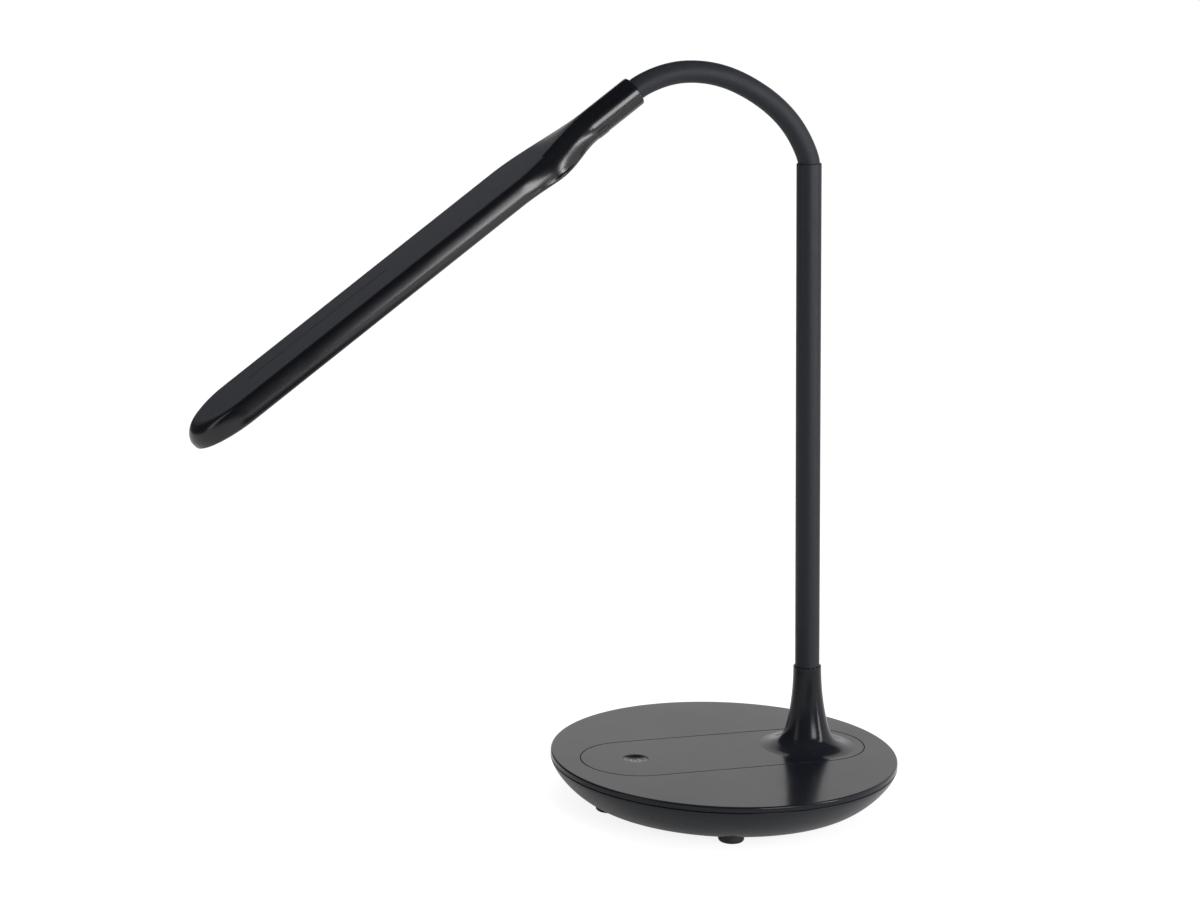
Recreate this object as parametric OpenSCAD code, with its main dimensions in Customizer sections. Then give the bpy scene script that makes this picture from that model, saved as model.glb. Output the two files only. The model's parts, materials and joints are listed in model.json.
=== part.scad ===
// Gooseneck desk lamp: round touch base, leaning post, flexible neck and a
// slim light bar.
// Frame: origin at the centre of the base on the desk, +Z up, the post on
// the +X side, the light bar reaching out over the base towards -X.
// Units: millimetres.

/* [Base] */
// Outer diameter of the round base
base_d = 170; // [164:1:190]
// Height of the base's flat top above the desk
base_h = 25; // [24.5:0.5:28]
// Height of the top cover's rim above the seam
rim_h = 2.75; // [2.6:0.05:3.2]
// Diameter of the flat underside of the base
underside_d = 133; // [130:1:136]
// Shape exponent of the curved side, 1 is a straight cone and 2 an ellipse
side_curve = 1.35; // [1.3:0.05:1.6]
// Wall thickness of the lower housing
wall = 2.4; // [2.2:0.1:2.6]

/* [Feet] */
// Diameter of each rubber foot
foot_d = 12.4; // [11:0.2:13]
// Gap between the desk and the underside of the base
foot_gap = 4.2; // [4:0.1:4.6]
// Diameter of the circle that the feet stand on
foot_ring_d = 119; // [116:1:120]

/* [Control panel] */
// Overall length of the round-ended control panel
panel_l = 145.7; // [144:0.1:147]
// Width of the control panel
panel_w = 53.2; // [52:0.2:54]
// Thickness of the control panel
panel_t = 2.3; // [2.1:0.1:2.4]
// Width of the groove around the control panel
panel_gap = 0.4; // [0.3:0.05:0.6]
// Diameter of the dished touch mark
touch_d = 12.3; // [10:0.1:14]
// Height of the trumpet-shaped collar above the panel
collar_h = 41; // [36:1:46]
// Radius of the collar where it runs out into the panel
collar_foot_r = 22.5; // [20:0.5:23]

/* [Post] */
// Outer diameter of the post
post_d = 12; // [11.8:0.1:12.4]
// Wall thickness of the post's tube
post_wall = 0.7; // [0.6:0.05:0.75]
// Length of the post above the base's top
post_l = 288.8; // [240:0.2:320]
// Distance of the post's axis from the edge of the base
post_edge = 40.5; // [40:0.1:41.5]
// Lean of the post towards the light bar, in degrees
post_lean = 2.5; // [0:0.1:3]

/* [Neck] */
// Diameter of the flexible neck
neck_d = 10.4; // [10:0.1:10.5]
// Length of one link of the neck, pivot to pivot
link_l = 9.5; // [9:0.1:11]
// Whole bend of the neck as it stands, in degrees
neck_bend = 124.8; // [100:0.2:135]

/* [Light bar] */
// Length of the light bar from the neck's mouth to the tip
bar_l = 258; // [240:0.5:280]
// Greatest width of the light bar
bar_w = 41; // [40:0.5:46]
// Width of the flat top of the light bar
bar_top_w = 34.2; // [33:0.2:36]
// Length of the rounded tip
tip_l = 26; // [22:0.5:30]
// Outer diameter of the round neck of the light bar
mouth_d = 14.5; // [14:0.1:15]
// Length of the groove in the flat top
groove_l = 80; // [60:1:90]
// Distance of the groove's near end from the mouth
groove_x = 142; // [130:1:150]
// Width of the bezel's frame beside the diffuser
frame_w = 5; // [4.5:0.1:6]
// Number of LEDs in each of the two rows
led_n = 20; // [12:1:24]

/* [Hidden] */
$fn = 64;

// Heights in the base
base_r = base_d / 2;
seam_z = base_h - rim_h;
floor_z = foot_gap + wall;
plate_t = 7;
plate_z = floor_z + plate_t;
boss_z = foot_gap + 7.8;
ledge_z = base_h - panel_t - 2.3;
panel_z = base_h - panel_t;
touch_seat = 1.6;

// Positions in the base
post_x = base_r - post_edge;
touch_x = (panel_l - panel_w) / 2;
foot_angles = [180, 252, 324, 36, 108];
screw_angles = [252, 324, 36, 108];
foot_r = foot_ring_d / 2;
jack_z = foot_gap + 9;
jack_face_x = base_r - 12;
jack_wall = 2.5;
jack_l = 13;
jack_w = 10;
jack_h = 10.4;
jack_bore_l = 11;
board_x = post_x - 50.5;
lead_x = post_x - 22.5;
board_l = 48;
board_w = 32;
board_z = plate_z + 3;
board_t = 1.6;

// Post and neck
lean_a = 90 + post_lean;
post_r = post_d / 2;
post_bore_r = post_r - post_wall;
post_top = [post_x, 0, base_h] + post_l * dir(lean_a);
post_drop = base_h - foot_gap - 6;
// Where the post's axis passes the flange of its socket
socket_x = post_x + (base_h - plate_z - 1.5) * tan(post_lean);
neck_r = neck_d / 2;
socket_gap = 0.06;
rim_cut = (neck_r + socket_gap) * sin(26);
root_l = 1.5;
tip_gap = 4;
tip_in = 14;
// Share of the whole bend that each pivot takes, and 0 for a sideways pivot
bends = [19, 19, 0, 12.5, 9.5, 0, 10.5, 14.5, 0, 16.5, 11.5, 11.8];
bend_sum = sum_to(bends, len(bends));

// Light bar
mouth_r = mouth_d / 2;
top_z = 6.6;
bar_seam_z = -2.8;
bottom_z = -4.7;
cavity_z = 4.2;
clamp_l = 21;
clamp_screw_x = clamp_l - 3.6;
bar_lead_y = 2.6;
wide_x = 80;
shell_wall = 2.6;
tip_screw_x = bar_l - 10.5;
diff_x0 = 64;
diff_end = 15.5;
diff_x1 = bar_l - diff_end;
bore_end = diff_x0 + 3;
diff_w = bar_w - 2 * frame_w;
led_board_z = 0.6;
led_board_t = 1.2;
led_board_side = 3.5;
led_board_w = diff_w - 2 * led_board_side;
led_end = 12;
led_row_y = led_board_w / 2 - 5;
led_l = 2.8;
led_w = 3.5;
led_h = 0.8;
spreader_z = led_board_z + led_board_t;
spreader_t = 1.6;
spreader_w = diff_w - 3;
pad_z = spreader_z + spreader_t;
screw_hole_d = 2.3;

function dir(a) = [cos(a), 0, sin(a)];
function sum_to(v, n) = n < 1 ? 0 : v[n - 1] + sum_to(v, n - 1);
// Direction of the neck after pivot k, in degrees from +X towards +Z
function neck_a(k) = lean_a + neck_bend * sum_to(bends, k) / bend_sum;
// Position of pivot k, counted from 1
function pivot(k) = k == 1
    ? post_top + root_l * dir(lean_a)
    : pivot(k - 1) + link_l * dir(neck_a(k - 1));
bar_origin = pivot(12) + tip_gap * dir(neck_a(12));
bar_pitch = neck_a(12) - 180;
function mix(a, b, f) = a + (b - a) * f;
function ease(f) = let(g = min(1, max(0, f))) g * g * (3 - 2 * g);

// Side of the base as a curve from the seam down to the underside
function side_points(r1, r0, z1, z0) = [
    for (t = [0 : 5 : 90])
        [r0 + (r1 - r0) * pow(cos(t), 2 / side_curve),
         z1 - (z1 - z0) * pow(sin(t), 2 / side_curve)]
];
// Radius of the collar at height h above the panel
function collar_r(h) =
    6.9 + 6.6 * pow(1 - h / collar_h, 2.2)
    + (collar_foot_r - 13.5) * pow(1 - h / collar_h, 20);

module ring_at(angles, r) {
    for (a = angles)
        rotate([0, 0, a])
            translate([r, 0, 0])
                children();
}

module round_ended(l, w) {
    square([l - w, w], center = true);
    for (s = [-1, 1])
        translate([s * (l - w) / 2, 0])
            circle(d = w);
}

module plate_between(z0, z1) {
    translate([0, 0, z0])
        linear_extrude(z1 - z0)
            children();
}

// Puts its children on the post's axis, with z = 0 at the base's top
module on_post() {
    translate([post_x, 0, base_h])
        rotate([0, 90 - lean_a, 0])
            children();
}

// Puts its children at pivot k, with +Z along the link that follows it
module at_pivot(k) {
    translate(pivot(k))
        rotate([0, 90 - neck_a(k), 0])
            children();
}

// Puts its children in the light bar's frame: mouth at 0, tip towards -X
module on_bar() {
    translate(bar_origin)
        rotate([0, -bar_pitch, 0])
            children();
}

function unit(v) = v / norm(v);
// Direction of a route at its point i: the mean of the stretches that meet
function route_dir(p, i) = i == 0
    ? unit(p[1] - p[0])
    : i == len(p) - 1
        ? unit(p[i] - p[i - 1])
        : unit(unit(p[i] - p[i - 1]) + unit(p[i + 1] - p[i]));

// Closed skin over rings of n points each, with flat end rings
module skin(rings, n) {
    m = len(rings);
    polyhedron(
        points = [for (ring = rings, p = ring) p],
        faces = concat(
            [[for (i = [0 : n - 1]) i]],
            [for (j = [0 : m - 2], i = [0 : n - 1])
                [j * n + i, (j + 1) * n + (i + 1) % n, j * n + (i + 1) % n]],
            [for (j = [0 : m - 2], i = [0 : n - 1])
                [j * n + i, (j + 1) * n + i, (j + 1) * n + (i + 1) % n]],
            [for (i = [0 : n / 2 - 2])
                [(m - 1) * n + n - 1 - i, (m - 1) * n + n - 2 - i,
                 (m - 1) * n + i + 1, (m - 1) * n + i]]));
}

// A lead of radius r through the points p, all square to the vector side
module lead(p, r, side) {
    sides = 8;
    skin([for (i = [0 : len(p) - 1])
        let (d = route_dir(p, i),
             e = unit(p[i == 0 ? 1 : i] - p[i == 0 ? 0 : i - 1]),
             u = unit(side - (side * d) * d),
             v = cross(d, u))
        [for (q = [0 : sides - 1])
            let (a = (q + 0.5) * 360 / sides)
            p[i] + r * (cos(a) * u + sin(a) / (d * e) * v)]], sides);
}

// A pan-head screw with its head's underside at 0 and its tip at +l
module pan_screw(d, l, head_d, head_h) {
    cylinder(d = d, h = l, $fn = 32);
    difference() {
        translate([0, 0, -head_h])
            cylinder(d = head_d, h = head_h, $fn = 32);
        translate([0, 0, -head_h - 0.1])
            cylinder(d = head_d * 0.45, h = head_h * 0.55, $fn = 6);
    }
}

// ---------------------------------------------------------------- base

module bowl_solid() {
    rotate_extrude($fn = 128)
        polygon(concat([[0, foot_gap]], [[0, seam_z]],
            side_points(base_r, underside_d / 2, seam_z, foot_gap)));
}

module base_bowl() {
    color([0.07, 0.075, 0.085])
    difference() {
        union() {
            difference() {
                bowl_solid();
                rotate_extrude($fn = 128)
                    polygon(concat([[0, floor_z], [0, seam_z + 1],
                        [base_r - wall - 0.3, seam_z + 1]],
                        side_points(base_r - wall - 0.3,
                            underside_d / 2 - 1.6, seam_z, floor_z)));
            }
            // wall behind the power jack
            intersection() {
                bowl_solid();
                translate([jack_face_x - jack_wall, -8, floor_z - 0.5])
                    cube([8, 16, seam_z - 2.6 - floor_z + 0.5]);
            }
            // screw posts
            ring_at(screw_angles, foot_r)
                translate([0, 0, floor_z - 0.5])
                    cylinder(r = 4.6, h = boss_z - floor_z + 0.5);
        }
        // shadow line at the seam
        difference() {
            translate([0, 0, seam_z - 0.35])
                cylinder(r = base_r + 1, h = 1, $fn = 128);
            translate([0, 0, seam_z - 1])
                cylinder(r = base_r - 1, h = 3, $fn = 128);
        }
        // seats of the feet
        ring_at(foot_angles, foot_r)
            translate([0, 0, foot_gap - 1])
                cylinder(d = foot_d + 0.4, h = 2);
        // screw holes with head recesses
        ring_at(screw_angles, foot_r) {
            translate([0, 0, foot_gap - 1])
                cylinder(d = 6.2, h = 4.8);
            translate([0, 0, foot_gap - 1])
                cylinder(d = 3.3, h = 20);
        }
        // countersunk holes of the ballast plate's screws
        ring_at([90, 210, 330], 35) {
            translate([0, 0, foot_gap - 0.01])
                cylinder(r1 = 4.01, r2 = 2.1, h = 1.91);
            translate([0, 0, foot_gap - 1])
                cylinder(r = 2.1, h = wall + 2);
        }
        // pocket and opening of the power jack
        translate([jack_face_x, 0, jack_z])
            rotate([0, 90, 0])
                cylinder(d = 12, h = 20);
        translate([jack_face_x - 5, 0, jack_z])
            rotate([0, 90, 0])
                cylinder(d = 7.6, h = 8);
        // room for the power jack's body
        translate([jack_face_x - jack_wall - jack_l - 1, -jack_w / 2 - 0.15,
                   jack_z - jack_h / 2 - 0.1])
            cube([jack_l + 1, jack_w + 0.3, jack_h + 0.2]);
    }
}

module base_cover() {
    edge = 0.9;
    color([0.085, 0.09, 0.1])
    difference() {
        union() {
            rotate_extrude($fn = 128) {
                translate([0, seam_z])
                    square([base_r - edge, rim_h]);
                translate([0, seam_z])
                    square([base_r, rim_h - edge]);
                translate([base_r - edge, base_h - edge])
                    circle(r = edge, $fn = 32);
            }
            // locating ring inside the lower housing
            difference() {
                translate([0, 0, seam_z - 2])
                    cylinder(r = base_r - wall - 1.4, h = 2.5, $fn = 128);
                translate([0, 0, seam_z - 3])
                    cylinder(r = base_r - wall - 3, h = 4, $fn = 128);
            }
            // seat of the control panel
            plate_between(ledge_z, seam_z + 0.5)
                round_ended(panel_l + 2 * panel_gap + 4,
                            panel_w + 2 * panel_gap + 4);
            // screw posts
            ring_at(screw_angles, foot_r)
                translate([0, 0, boss_z])
                    cylinder(r = 3.7, h = seam_z - boss_z + 0.5);
        }
        plate_between(panel_z, base_h + 1)
            round_ended(panel_l + 2 * panel_gap, panel_w + 2 * panel_gap);
        plate_between(ledge_z - 1, base_h + 1)
            round_ended(panel_l + 2 * panel_gap - 9,
                        panel_w + 2 * panel_gap - 9);
        ring_at(screw_angles, foot_r)
            translate([0, 0, boss_z - 1])
                cylinder(d = 3, h = 8.6);
        panel_screw_places()
            translate([0, 0, ledge_z - 1])
                cylinder(d = 2.7, h = 6);
    }
}

module panel_screw_places() {
    for (x = [-30, 18], s = [-1, 1])
        translate([x, s * (panel_w / 2 - 2.2), 0])
            children();
}

module control_panel() {
    color([0.09, 0.095, 0.105])
    difference() {
        union() {
            plate_between(panel_z, base_h)
                round_ended(panel_l, panel_w);
            // trumpet collar around the post, running out into the panel
            intersection() {
                on_post()
                    rotate_extrude($fn = 96)
                        polygon(concat([[0, -1.4]],
                            [for (h = [-1.4, -1, -0.5, 0, 0.5, 1, 1.6, 2.4,
                                3.4, 4.6, 6, 8, 10, 13, 16, 20, 25, 30, 35,
                                collar_h - 0.8]) [collar_r(h), h]],
                            [[6.8, collar_h - 0.25], [6.45, collar_h],
                             [0, collar_h]]));
                plate_between(base_h - 1.2, base_h + collar_h + 5)
                    round_ended(panel_l, panel_w);
            }
        }
        // bore around the post and hollow below it
        on_post() {
            translate([0, 0, -6])
                cylinder(r = post_r + 0.06, h = collar_h + 10);
            rotate_extrude($fn = 96)
                polygon(concat([[0, -6], [collar_foot_r - 4, -6]],
                    [for (h = [0, 1, 2.4, 4.6, 8, 12, 18, collar_h - 14])
                        [max(post_r + 0.1, collar_r(h) - 2.2), h]],
                    [[0, collar_h - 14]]));
        }
        // seat of the touch mark
        translate([-touch_x, 0, base_h - touch_seat])
            cylinder(d = touch_d + 0.2, h = 3);
        panel_screw_places()
            translate([0, 0, panel_z - 1])
                cylinder(d = 2.3, h = 2.6);
    }
}

module touch_mark() {
    color([0.04, 0.042, 0.05])
    translate([-touch_x, 0, base_h - touch_seat])
        difference() {
            cylinder(d = touch_d, h = touch_seat - 0.1);
            translate([0, 0, touch_d * 1.6 + 0.5])
                sphere(r = touch_d * 1.6, $fn = 96);
        }
}

module touch_board() {
    color([0.1, 0.3, 0.2])
    translate([-touch_x, 0, panel_z - 1.2])
        cylinder(r = 10, h = 1.2);
}

module board_hole_places() {
    for (sx = [-1, 1], sy = [-1, 1])
        translate([board_x + sx * (board_l / 2 - 4),
                   sy * (board_w / 2 - 4), 0])
            children();
}

module control_board() {
    color([0.1, 0.32, 0.2])
    difference() {
        translate([board_x - board_l / 2, -board_w / 2, board_z])
            cube([board_l, board_w, board_t]);
        board_hole_places()
            translate([0, 0, board_z - 1])
                cylinder(d = 2.7, h = 4, $fn = 32);
    }
}

module board_parts() {
    top = board_z + board_t;
    color([0.15, 0.15, 0.16]) {
        // two lead connectors
        for (y = [-13, -3])
            translate([board_x + board_l / 2 - 8, y + (y < -5 ? 7.5 : 0),
                       top])
                cube([7, 6, 2.3]);
        // controller chip, switching chip and coil
        translate([board_x - 6, -4, top])
            cube([8, 8, 1.4]);
        translate([board_x - 14, 4, top])
            cube([5, 4, 1.5]);
        translate([board_x - 14, -6, top])
            cylinder(d = 6, h = 2.2, $fn = 32);
        // row of small chip parts
        for (i = [0 : 5])
            translate([board_x - 12 + 3 * i, -9.5, top])
                cube([1.6, 0.9, 0.7]);
    }
}

module board_standoffs() {
    color([0.7, 0.6, 0.35])
    board_hole_places()
        translate([0, 0, plate_z])
            difference() {
                cylinder(r = 2.5, h = board_z - plate_z);
                translate([0, 0, 0.4])
                    cylinder(d = 2.5, h = 4, $fn = 32);
            }
}

module board_screws() {
    color([0.7, 0.7, 0.72])
    board_hole_places()
        translate([0, 0, board_z + board_t])
            mirror([0, 0, 1])
                pan_screw(2.4, 4, 4.2, 1.3);
}

module ballast_plate() {
    hole_x = post_x + (base_h - plate_z + plate_t / 2) * tan(post_lean);
    color([0.45, 0.46, 0.48])
    difference() {
        translate([0, 0, floor_z])
            cylinder(r = underside_d / 2 - 4.5, h = plate_t, $fn = 128);
        // room for the screw posts
        ring_at(screw_angles, foot_r)
            translate([0, 0, floor_z - 1])
                cylinder(r = 5.4, h = plate_t + 2);
        // post and lead
        translate([hole_x, 0, floor_z - 1])
            cylinder(r = post_r + 0.9, h = plate_t + 2);
        translate([lead_x, -2.6, floor_z - 1])
            cube([hole_x - lead_x, 5.2, 4.4]);
        translate([lead_x, 0, floor_z - 1])
            cylinder(r = 2.6, h = plate_t + 2);
        // room for the power jack
        translate([jack_face_x - 16, -7.5, floor_z - 1])
            cube([20, 15, plate_t + 2]);
        // threaded holes
        socket_screw_places()
            translate([0, 0, plate_z - 5.5])
                cylinder(d = 3.1, h = 8, $fn = 32);
        ring_at([90, 210, 330], 35)
            translate([0, 0, floor_z - 1])
                cylinder(d = 4.1, h = 6, $fn = 32);
    }
}

module ballast_screws() {
    color([0.6, 0.6, 0.62])
    ring_at([90, 210, 330], 35)
        difference() {
            union() {
                translate([0, 0, foot_gap])
                    cylinder(r1 = 3.9, r2 = 2, h = 1.9, $fn = 32);
                translate([0, 0, foot_gap + 1.8])
                    cylinder(r = 2, h = 4.6, $fn = 32);
            }
            translate([0, 0, foot_gap - 1])
                cylinder(d = 2.6, h = 2, $fn = 6);
        }
}

// The socket's screws stand on the three sides away from the power jack
module socket_screw_places() {
    translate([socket_x, 0, 0])
        ring_at([95, 180, 265], 13.2)
            children();
}
module post_socket() {
    color([0.55, 0.56, 0.58])
    difference() {
        union() {
            intersection() {
                translate([socket_x, 0, plate_z])
                    cylinder(r = 17, h = 3);
                translate([0, -30, 0])
                    cube([jack_face_x - 16.5, 60, 60]);
            }
            intersection() {
                on_post()
                    translate([0, 0, -post_drop])
                        cylinder(r = 9.2, h = post_drop - 3);
                translate([0, -30, plate_z])
                    cube([90, 60, 60]);
            }
        }
        on_post()
            translate([0, 0, -post_drop - 5])
                cylinder(r = post_r + 0.04, h = post_drop + 10);
        // set screw, level with the boss's middle
        translate([socket_x - 12, 0, plate_z + 5.6])
            rotate([0, 90, 0])
                cylinder(d = 3.1, h = 10, $fn = 32);
        socket_screw_places()
            translate([0, 0, plate_z - 1])
                cylinder(d = 3.3, h = 6, $fn = 32);
    }
}

module socket_screws() {
    color([0.7, 0.7, 0.72])
    socket_screw_places()
        translate([0, 0, plate_z + 3])
            mirror([0, 0, 1])
                pan_screw(3, 6, 5.6, 2);
}

module set_screw() {
    color([0.6, 0.6, 0.62])
    translate([socket_x - 9.6, 0, plate_z + 5.6])
        rotate([0, 90, 0])
            difference() {
                cylinder(d = 3, h = 3.3, $fn = 32);
                translate([0, 0, -1])
                    cylinder(d = 1.5, h = 2.4, $fn = 6);
            }
}

module cover_screws() {
    color([0.7, 0.7, 0.72])
    ring_at(screw_angles, foot_r)
        translate([0, 0, foot_gap + 3.8])
            pan_screw(2.9, 10, 5.8, 2.1);
}

module panel_screws() {
    color([0.7, 0.7, 0.72])
    panel_screw_places()
        translate([0, 0, ledge_z])
            pan_screw(2.2, 3.6, 4, 1.3);
}

module feet() {
    color([0.03, 0.03, 0.032])
    ring_at(foot_angles, foot_r)
        rotate_extrude($fn = 48) {
            translate([0, 1.4])
                square([foot_d / 2, foot_gap - 0.5]);
            square([foot_d / 2 - 1.4, 2]);
            translate([foot_d / 2 - 1.4, 1.4])
                circle(r = 1.4, $fn = 32);
        }
}

module power_jack() {
    color([0.05, 0.05, 0.055])
    difference() {
        union() {
            translate([jack_face_x - jack_wall - jack_l, -jack_w / 2,
                       jack_z - jack_h / 2])
                cube([jack_l, jack_w, jack_h]);
            translate([jack_face_x - 3, 0, jack_z])
                rotate([0, 90, 0])
                    cylinder(d = 7.4, h = 3);
        }
        translate([jack_face_x - jack_bore_l, 0, jack_z])
            rotate([0, 90, 0])
                cylinder(d = 5.6, h = jack_bore_l + 2);
    }
}

module jack_pin() {
    color([0.8, 0.75, 0.6])
    translate([jack_face_x - jack_bore_l, 0, jack_z])
        rotate([0, 90, 0])
            cylinder(d = 2, h = jack_bore_l - 1.5, $fn = 32);
}

module jack_lead() {
    z = plate_z + 1.7;
    c = board_x + board_l / 2 - 1;
    color([0.1, 0.1, 0.1])
    lead([[jack_face_x - 12, -5.1, z], [jack_face_x - 12.5, -14, z],
          [post_x + 1.5, -22.5, z], [post_x - 17.5, -20, z],
          [c + 5, -2.5, board_z + board_t + 1.1],
          [c, -2.5, board_z + board_t + 1.1]], 1.05, [0, 0, 1]);
}

module lamp_lead() {
    foot = [post_x, 0, base_h]
        - (base_h - floor_z - 1.9) / cos(post_lean) * dir(lean_a);
    top = [post_x, 0, base_h] + (post_l - 22.2) * dir(lean_a);
    c = board_x + board_l / 2 - 1;
    color([0.1, 0.1, 0.1])
    lead([top, foot, [lead_x, 0, floor_z + 1.9],
          [lead_x, 0, board_z + board_t + 1.1],
          [c, 0, board_z + board_t + 1.1]], 1.2, [0, 1, 0]);
}

// ---------------------------------------------------------------- post

module post_tube() {
    color([0.13, 0.14, 0.155])
    on_post()
        translate([0, 0, -post_drop])
            difference() {
                cylinder(r = post_r, h = post_l + post_drop, $fn = 96);
                translate([0, 0, -1])
                    cylinder(r = post_bore_r, h = post_l + post_drop + 2,
                             $fn = 96);
            }
}

// ---------------------------------------------------------------- neck

module neck_root() {
    color([0.12, 0.13, 0.145])
    on_post()
        translate([0, 0, post_l]) {
            translate([0, 0, -22])
                cylinder(r = neck_r, h = 22 + root_l);
            translate([0, 0, root_l])
                sphere(r = neck_r);
        }
}

// A link: socket around the ball behind it, its own ball at the far end
module neck_link(k) {
    color([0.12, 0.13, 0.145])
    at_pivot(k)
        difference() {
            union() {
                translate([0, 0, rim_cut])
                    cylinder(r = neck_r, h = link_l - rim_cut);
                translate([0, 0, link_l])
                    sphere(r = neck_r);
            }
            sphere(r = neck_r + socket_gap);
        }
}

module neck_tip() {
    color([0.12, 0.13, 0.145])
    at_pivot(12)
        difference() {
            translate([0, 0, rim_cut])
                cylinder(r = neck_r, h = tip_gap + tip_in - rim_cut);
            sphere(r = neck_r + socket_gap);
        }
}

// ----------------------------------------------------------- light bar

// Plan of the hollow in the bar from distance x0 on, with cut-off corners
module hollow_plan(x0, corner_l, corner_w) {
    w = bar_w / 2 - shell_wall;
    tip_x = bar_l - shell_wall - 0.8 - tip_l;
    polygon(concat([[-x0, corner_w - w], [-x0 - corner_l, -w]],
        [for (t = [90 : -6 : -90])
            [-tip_x - tip_l * cos(t), -w * sin(t)]],
        [[-x0 - corner_l, w], [-x0, w - corner_w]]));
}

// Half section of the light bar: y and z down one side, wide part
wide_half = [[bar_top_w / 2, top_z], [bar_w / 2 - 1, 4.9],
             [bar_w / 2, 0.5], [bar_w / 2 - 0.2, bar_seam_z],
             [bar_w / 2 - 0.7, -3.9], [bar_w / 2 - 1.9, bottom_z]];
// Same half section of the round neck
round_half = [for (a = [12, 48, 86, 112, 140, 168])
    [(mouth_r - 0.1) * sin(a), (mouth_r - 0.1) * cos(a)]];
// Half section at distance x from the mouth: towards the mouth the top
// narrows first, and the bottom drops to the round neck before its sides do
function half_at(x) = [
    for (i = [0 : 5])
        let (ft = 1 - ease((x - 24) / (wide_x - 30)),
             fy = mix(ft, 1 - ease((x - 26) / 32), i / 5),
             fz = mix(ft, 1 - ease((x - 38) / (wide_x - 40)), i / 5))
        [mix(wide_half[i][0], round_half[i][0], fy),
         mix(wide_half[i][1], round_half[i][1], fz)]
];
// How far the tip stays back where the section is d narrower than the bar
function tip_inset(d) = 0.9 * d + 0.35 * d * d;
// Ring of the light bar's skin from a half section at distances x
function bar_ring(x, h) = concat(
    [for (i = [0 : 5]) [-x[i], h[i][0], h[i][1]]],
    [for (i = [5 : -1 : 0]) [-x[i], -h[i][0], h[i][1]]]);

// Whole outer form: round neck, shoulder, straight bar and rounded tip
module bar_body() {
    tip_x = bar_l - tip_l;
    skin(concat(
        [for (x = [26, 28, 31, 34, 37, 40, 43, 46, 49, 52, 56, 60, 64, 69, 74,
                   wide_x])
            bar_ring([for (i = [0 : 5]) x], half_at(x))],
        [for (t = [0, 9, 18, 27, 36, 44, 52, 60, 67, 74, 80, 86])
            bar_ring([for (i = [0 : 5])
                    tip_x + (tip_l - tip_inset(bar_w / 2 - wide_half[i][0]))
                        * sin(t)],
                [for (i = [0 : 5])
                    [wide_half[i][0] * cos(t), wide_half[i][1]]])]),
        12);
}

module half_space(up, z) {
    side = 2 * bar_w;
    translate([-bar_l - side, -side / 2, up ? z : z - side])
        cube([bar_l + 2 * side, side, side]);
}

module mouth_round() {
    edge = 0.9;
    rotate([0, -90, 0])
        rotate_extrude($fn = 96) {
            translate([0, edge])
                square([mouth_r, 26.5 - edge]);
            square([mouth_r - edge, 2]);
            translate([mouth_r - edge, edge])
                circle(r = edge, $fn = 32);
        }
}

module mouth_bores() {
    rotate([0, -90, 0]) {
        translate([0, 0, -1])
            cylinder(r = neck_r + 0.08, h = tip_in + 1);
        translate([0, 0, tip_in - 0.5])
            cylinder(r = 4.2, h = bore_end - tip_in + 0.5);
    }
}

module bar_shell() {
    color([0.075, 0.078, 0.085])
    on_bar()
    difference() {
        intersection() {
            union() {
                bar_body();
                mouth_round();
            }
            half_space(true, bar_seam_z);
        }
        mouth_bores();
        // room for the diffuser's flange, and the hollow over the LED board
        plate_between(bar_seam_z - 1, bar_seam_z + 1.6)
            hollow_plan(diff_x0 - 4, 2, 2);
        plate_between(bar_seam_z - 1, cavity_z)
            hollow_plan(diff_x0 + 2, 12, 2.6);
        // groove in the flat top
        plate_between(top_z - 0.6, top_z + 1)
            translate([-groove_x - groove_l / 2, 0])
                round_ended(groove_l, 0.8);
        // screw holes
        spreader_screw_places()
            cylinder(d = screw_hole_d, h = 5.1, $fn = 32);
        clamp_screw_place()
            translate([0, 0, bar_seam_z - 1])
                cylinder(d = 2.1, h = 7 - bar_seam_z, $fn = 32);
        bezel_screw_places()
            translate([0, 0, bar_seam_z - 1])
                cylinder(d = screw_hole_d, h = 6.5, $fn = 32);
    }
    // posts for the bezel's screws and pads for the heat spreader
    color([0.075, 0.078, 0.085])
    on_bar() {
        bezel_posts();
        spreader_screw_places()
            translate([0, 0, pad_z])
                difference() {
                    cylinder(r = 3, h = cavity_z - pad_z + 0.2);
                    translate([0, 0, -1])
                        cylinder(d = screw_hole_d, h = 3, $fn = 32);
                }
    }
}

module bezel_posts() {
    translate([-tip_screw_x, 0, bar_seam_z])
        difference() {
            cylinder(r = 2.8, h = cavity_z - bar_seam_z + 0.2);
            translate([0, 0, -1])
                cylinder(d = screw_hole_d, h = 6.5, $fn = 32);
        }
}

module bezel_screw_places() {
    translate([-tip_screw_x, 0, 0])
        children();
    for (s = [-1, 1])
        translate([-54, s * 12.5, 0])
            children();
}

module spreader_screw_places() {
    for (i = [0 : 2])
        translate([-diff_x0 - 20 - i * (diff_x1 - diff_x0 - 40) / 2, 0, 0])
            children();
}

module clamp_screw_place() {
    translate([-clamp_screw_x, 0, 0])
        children();
}

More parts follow.
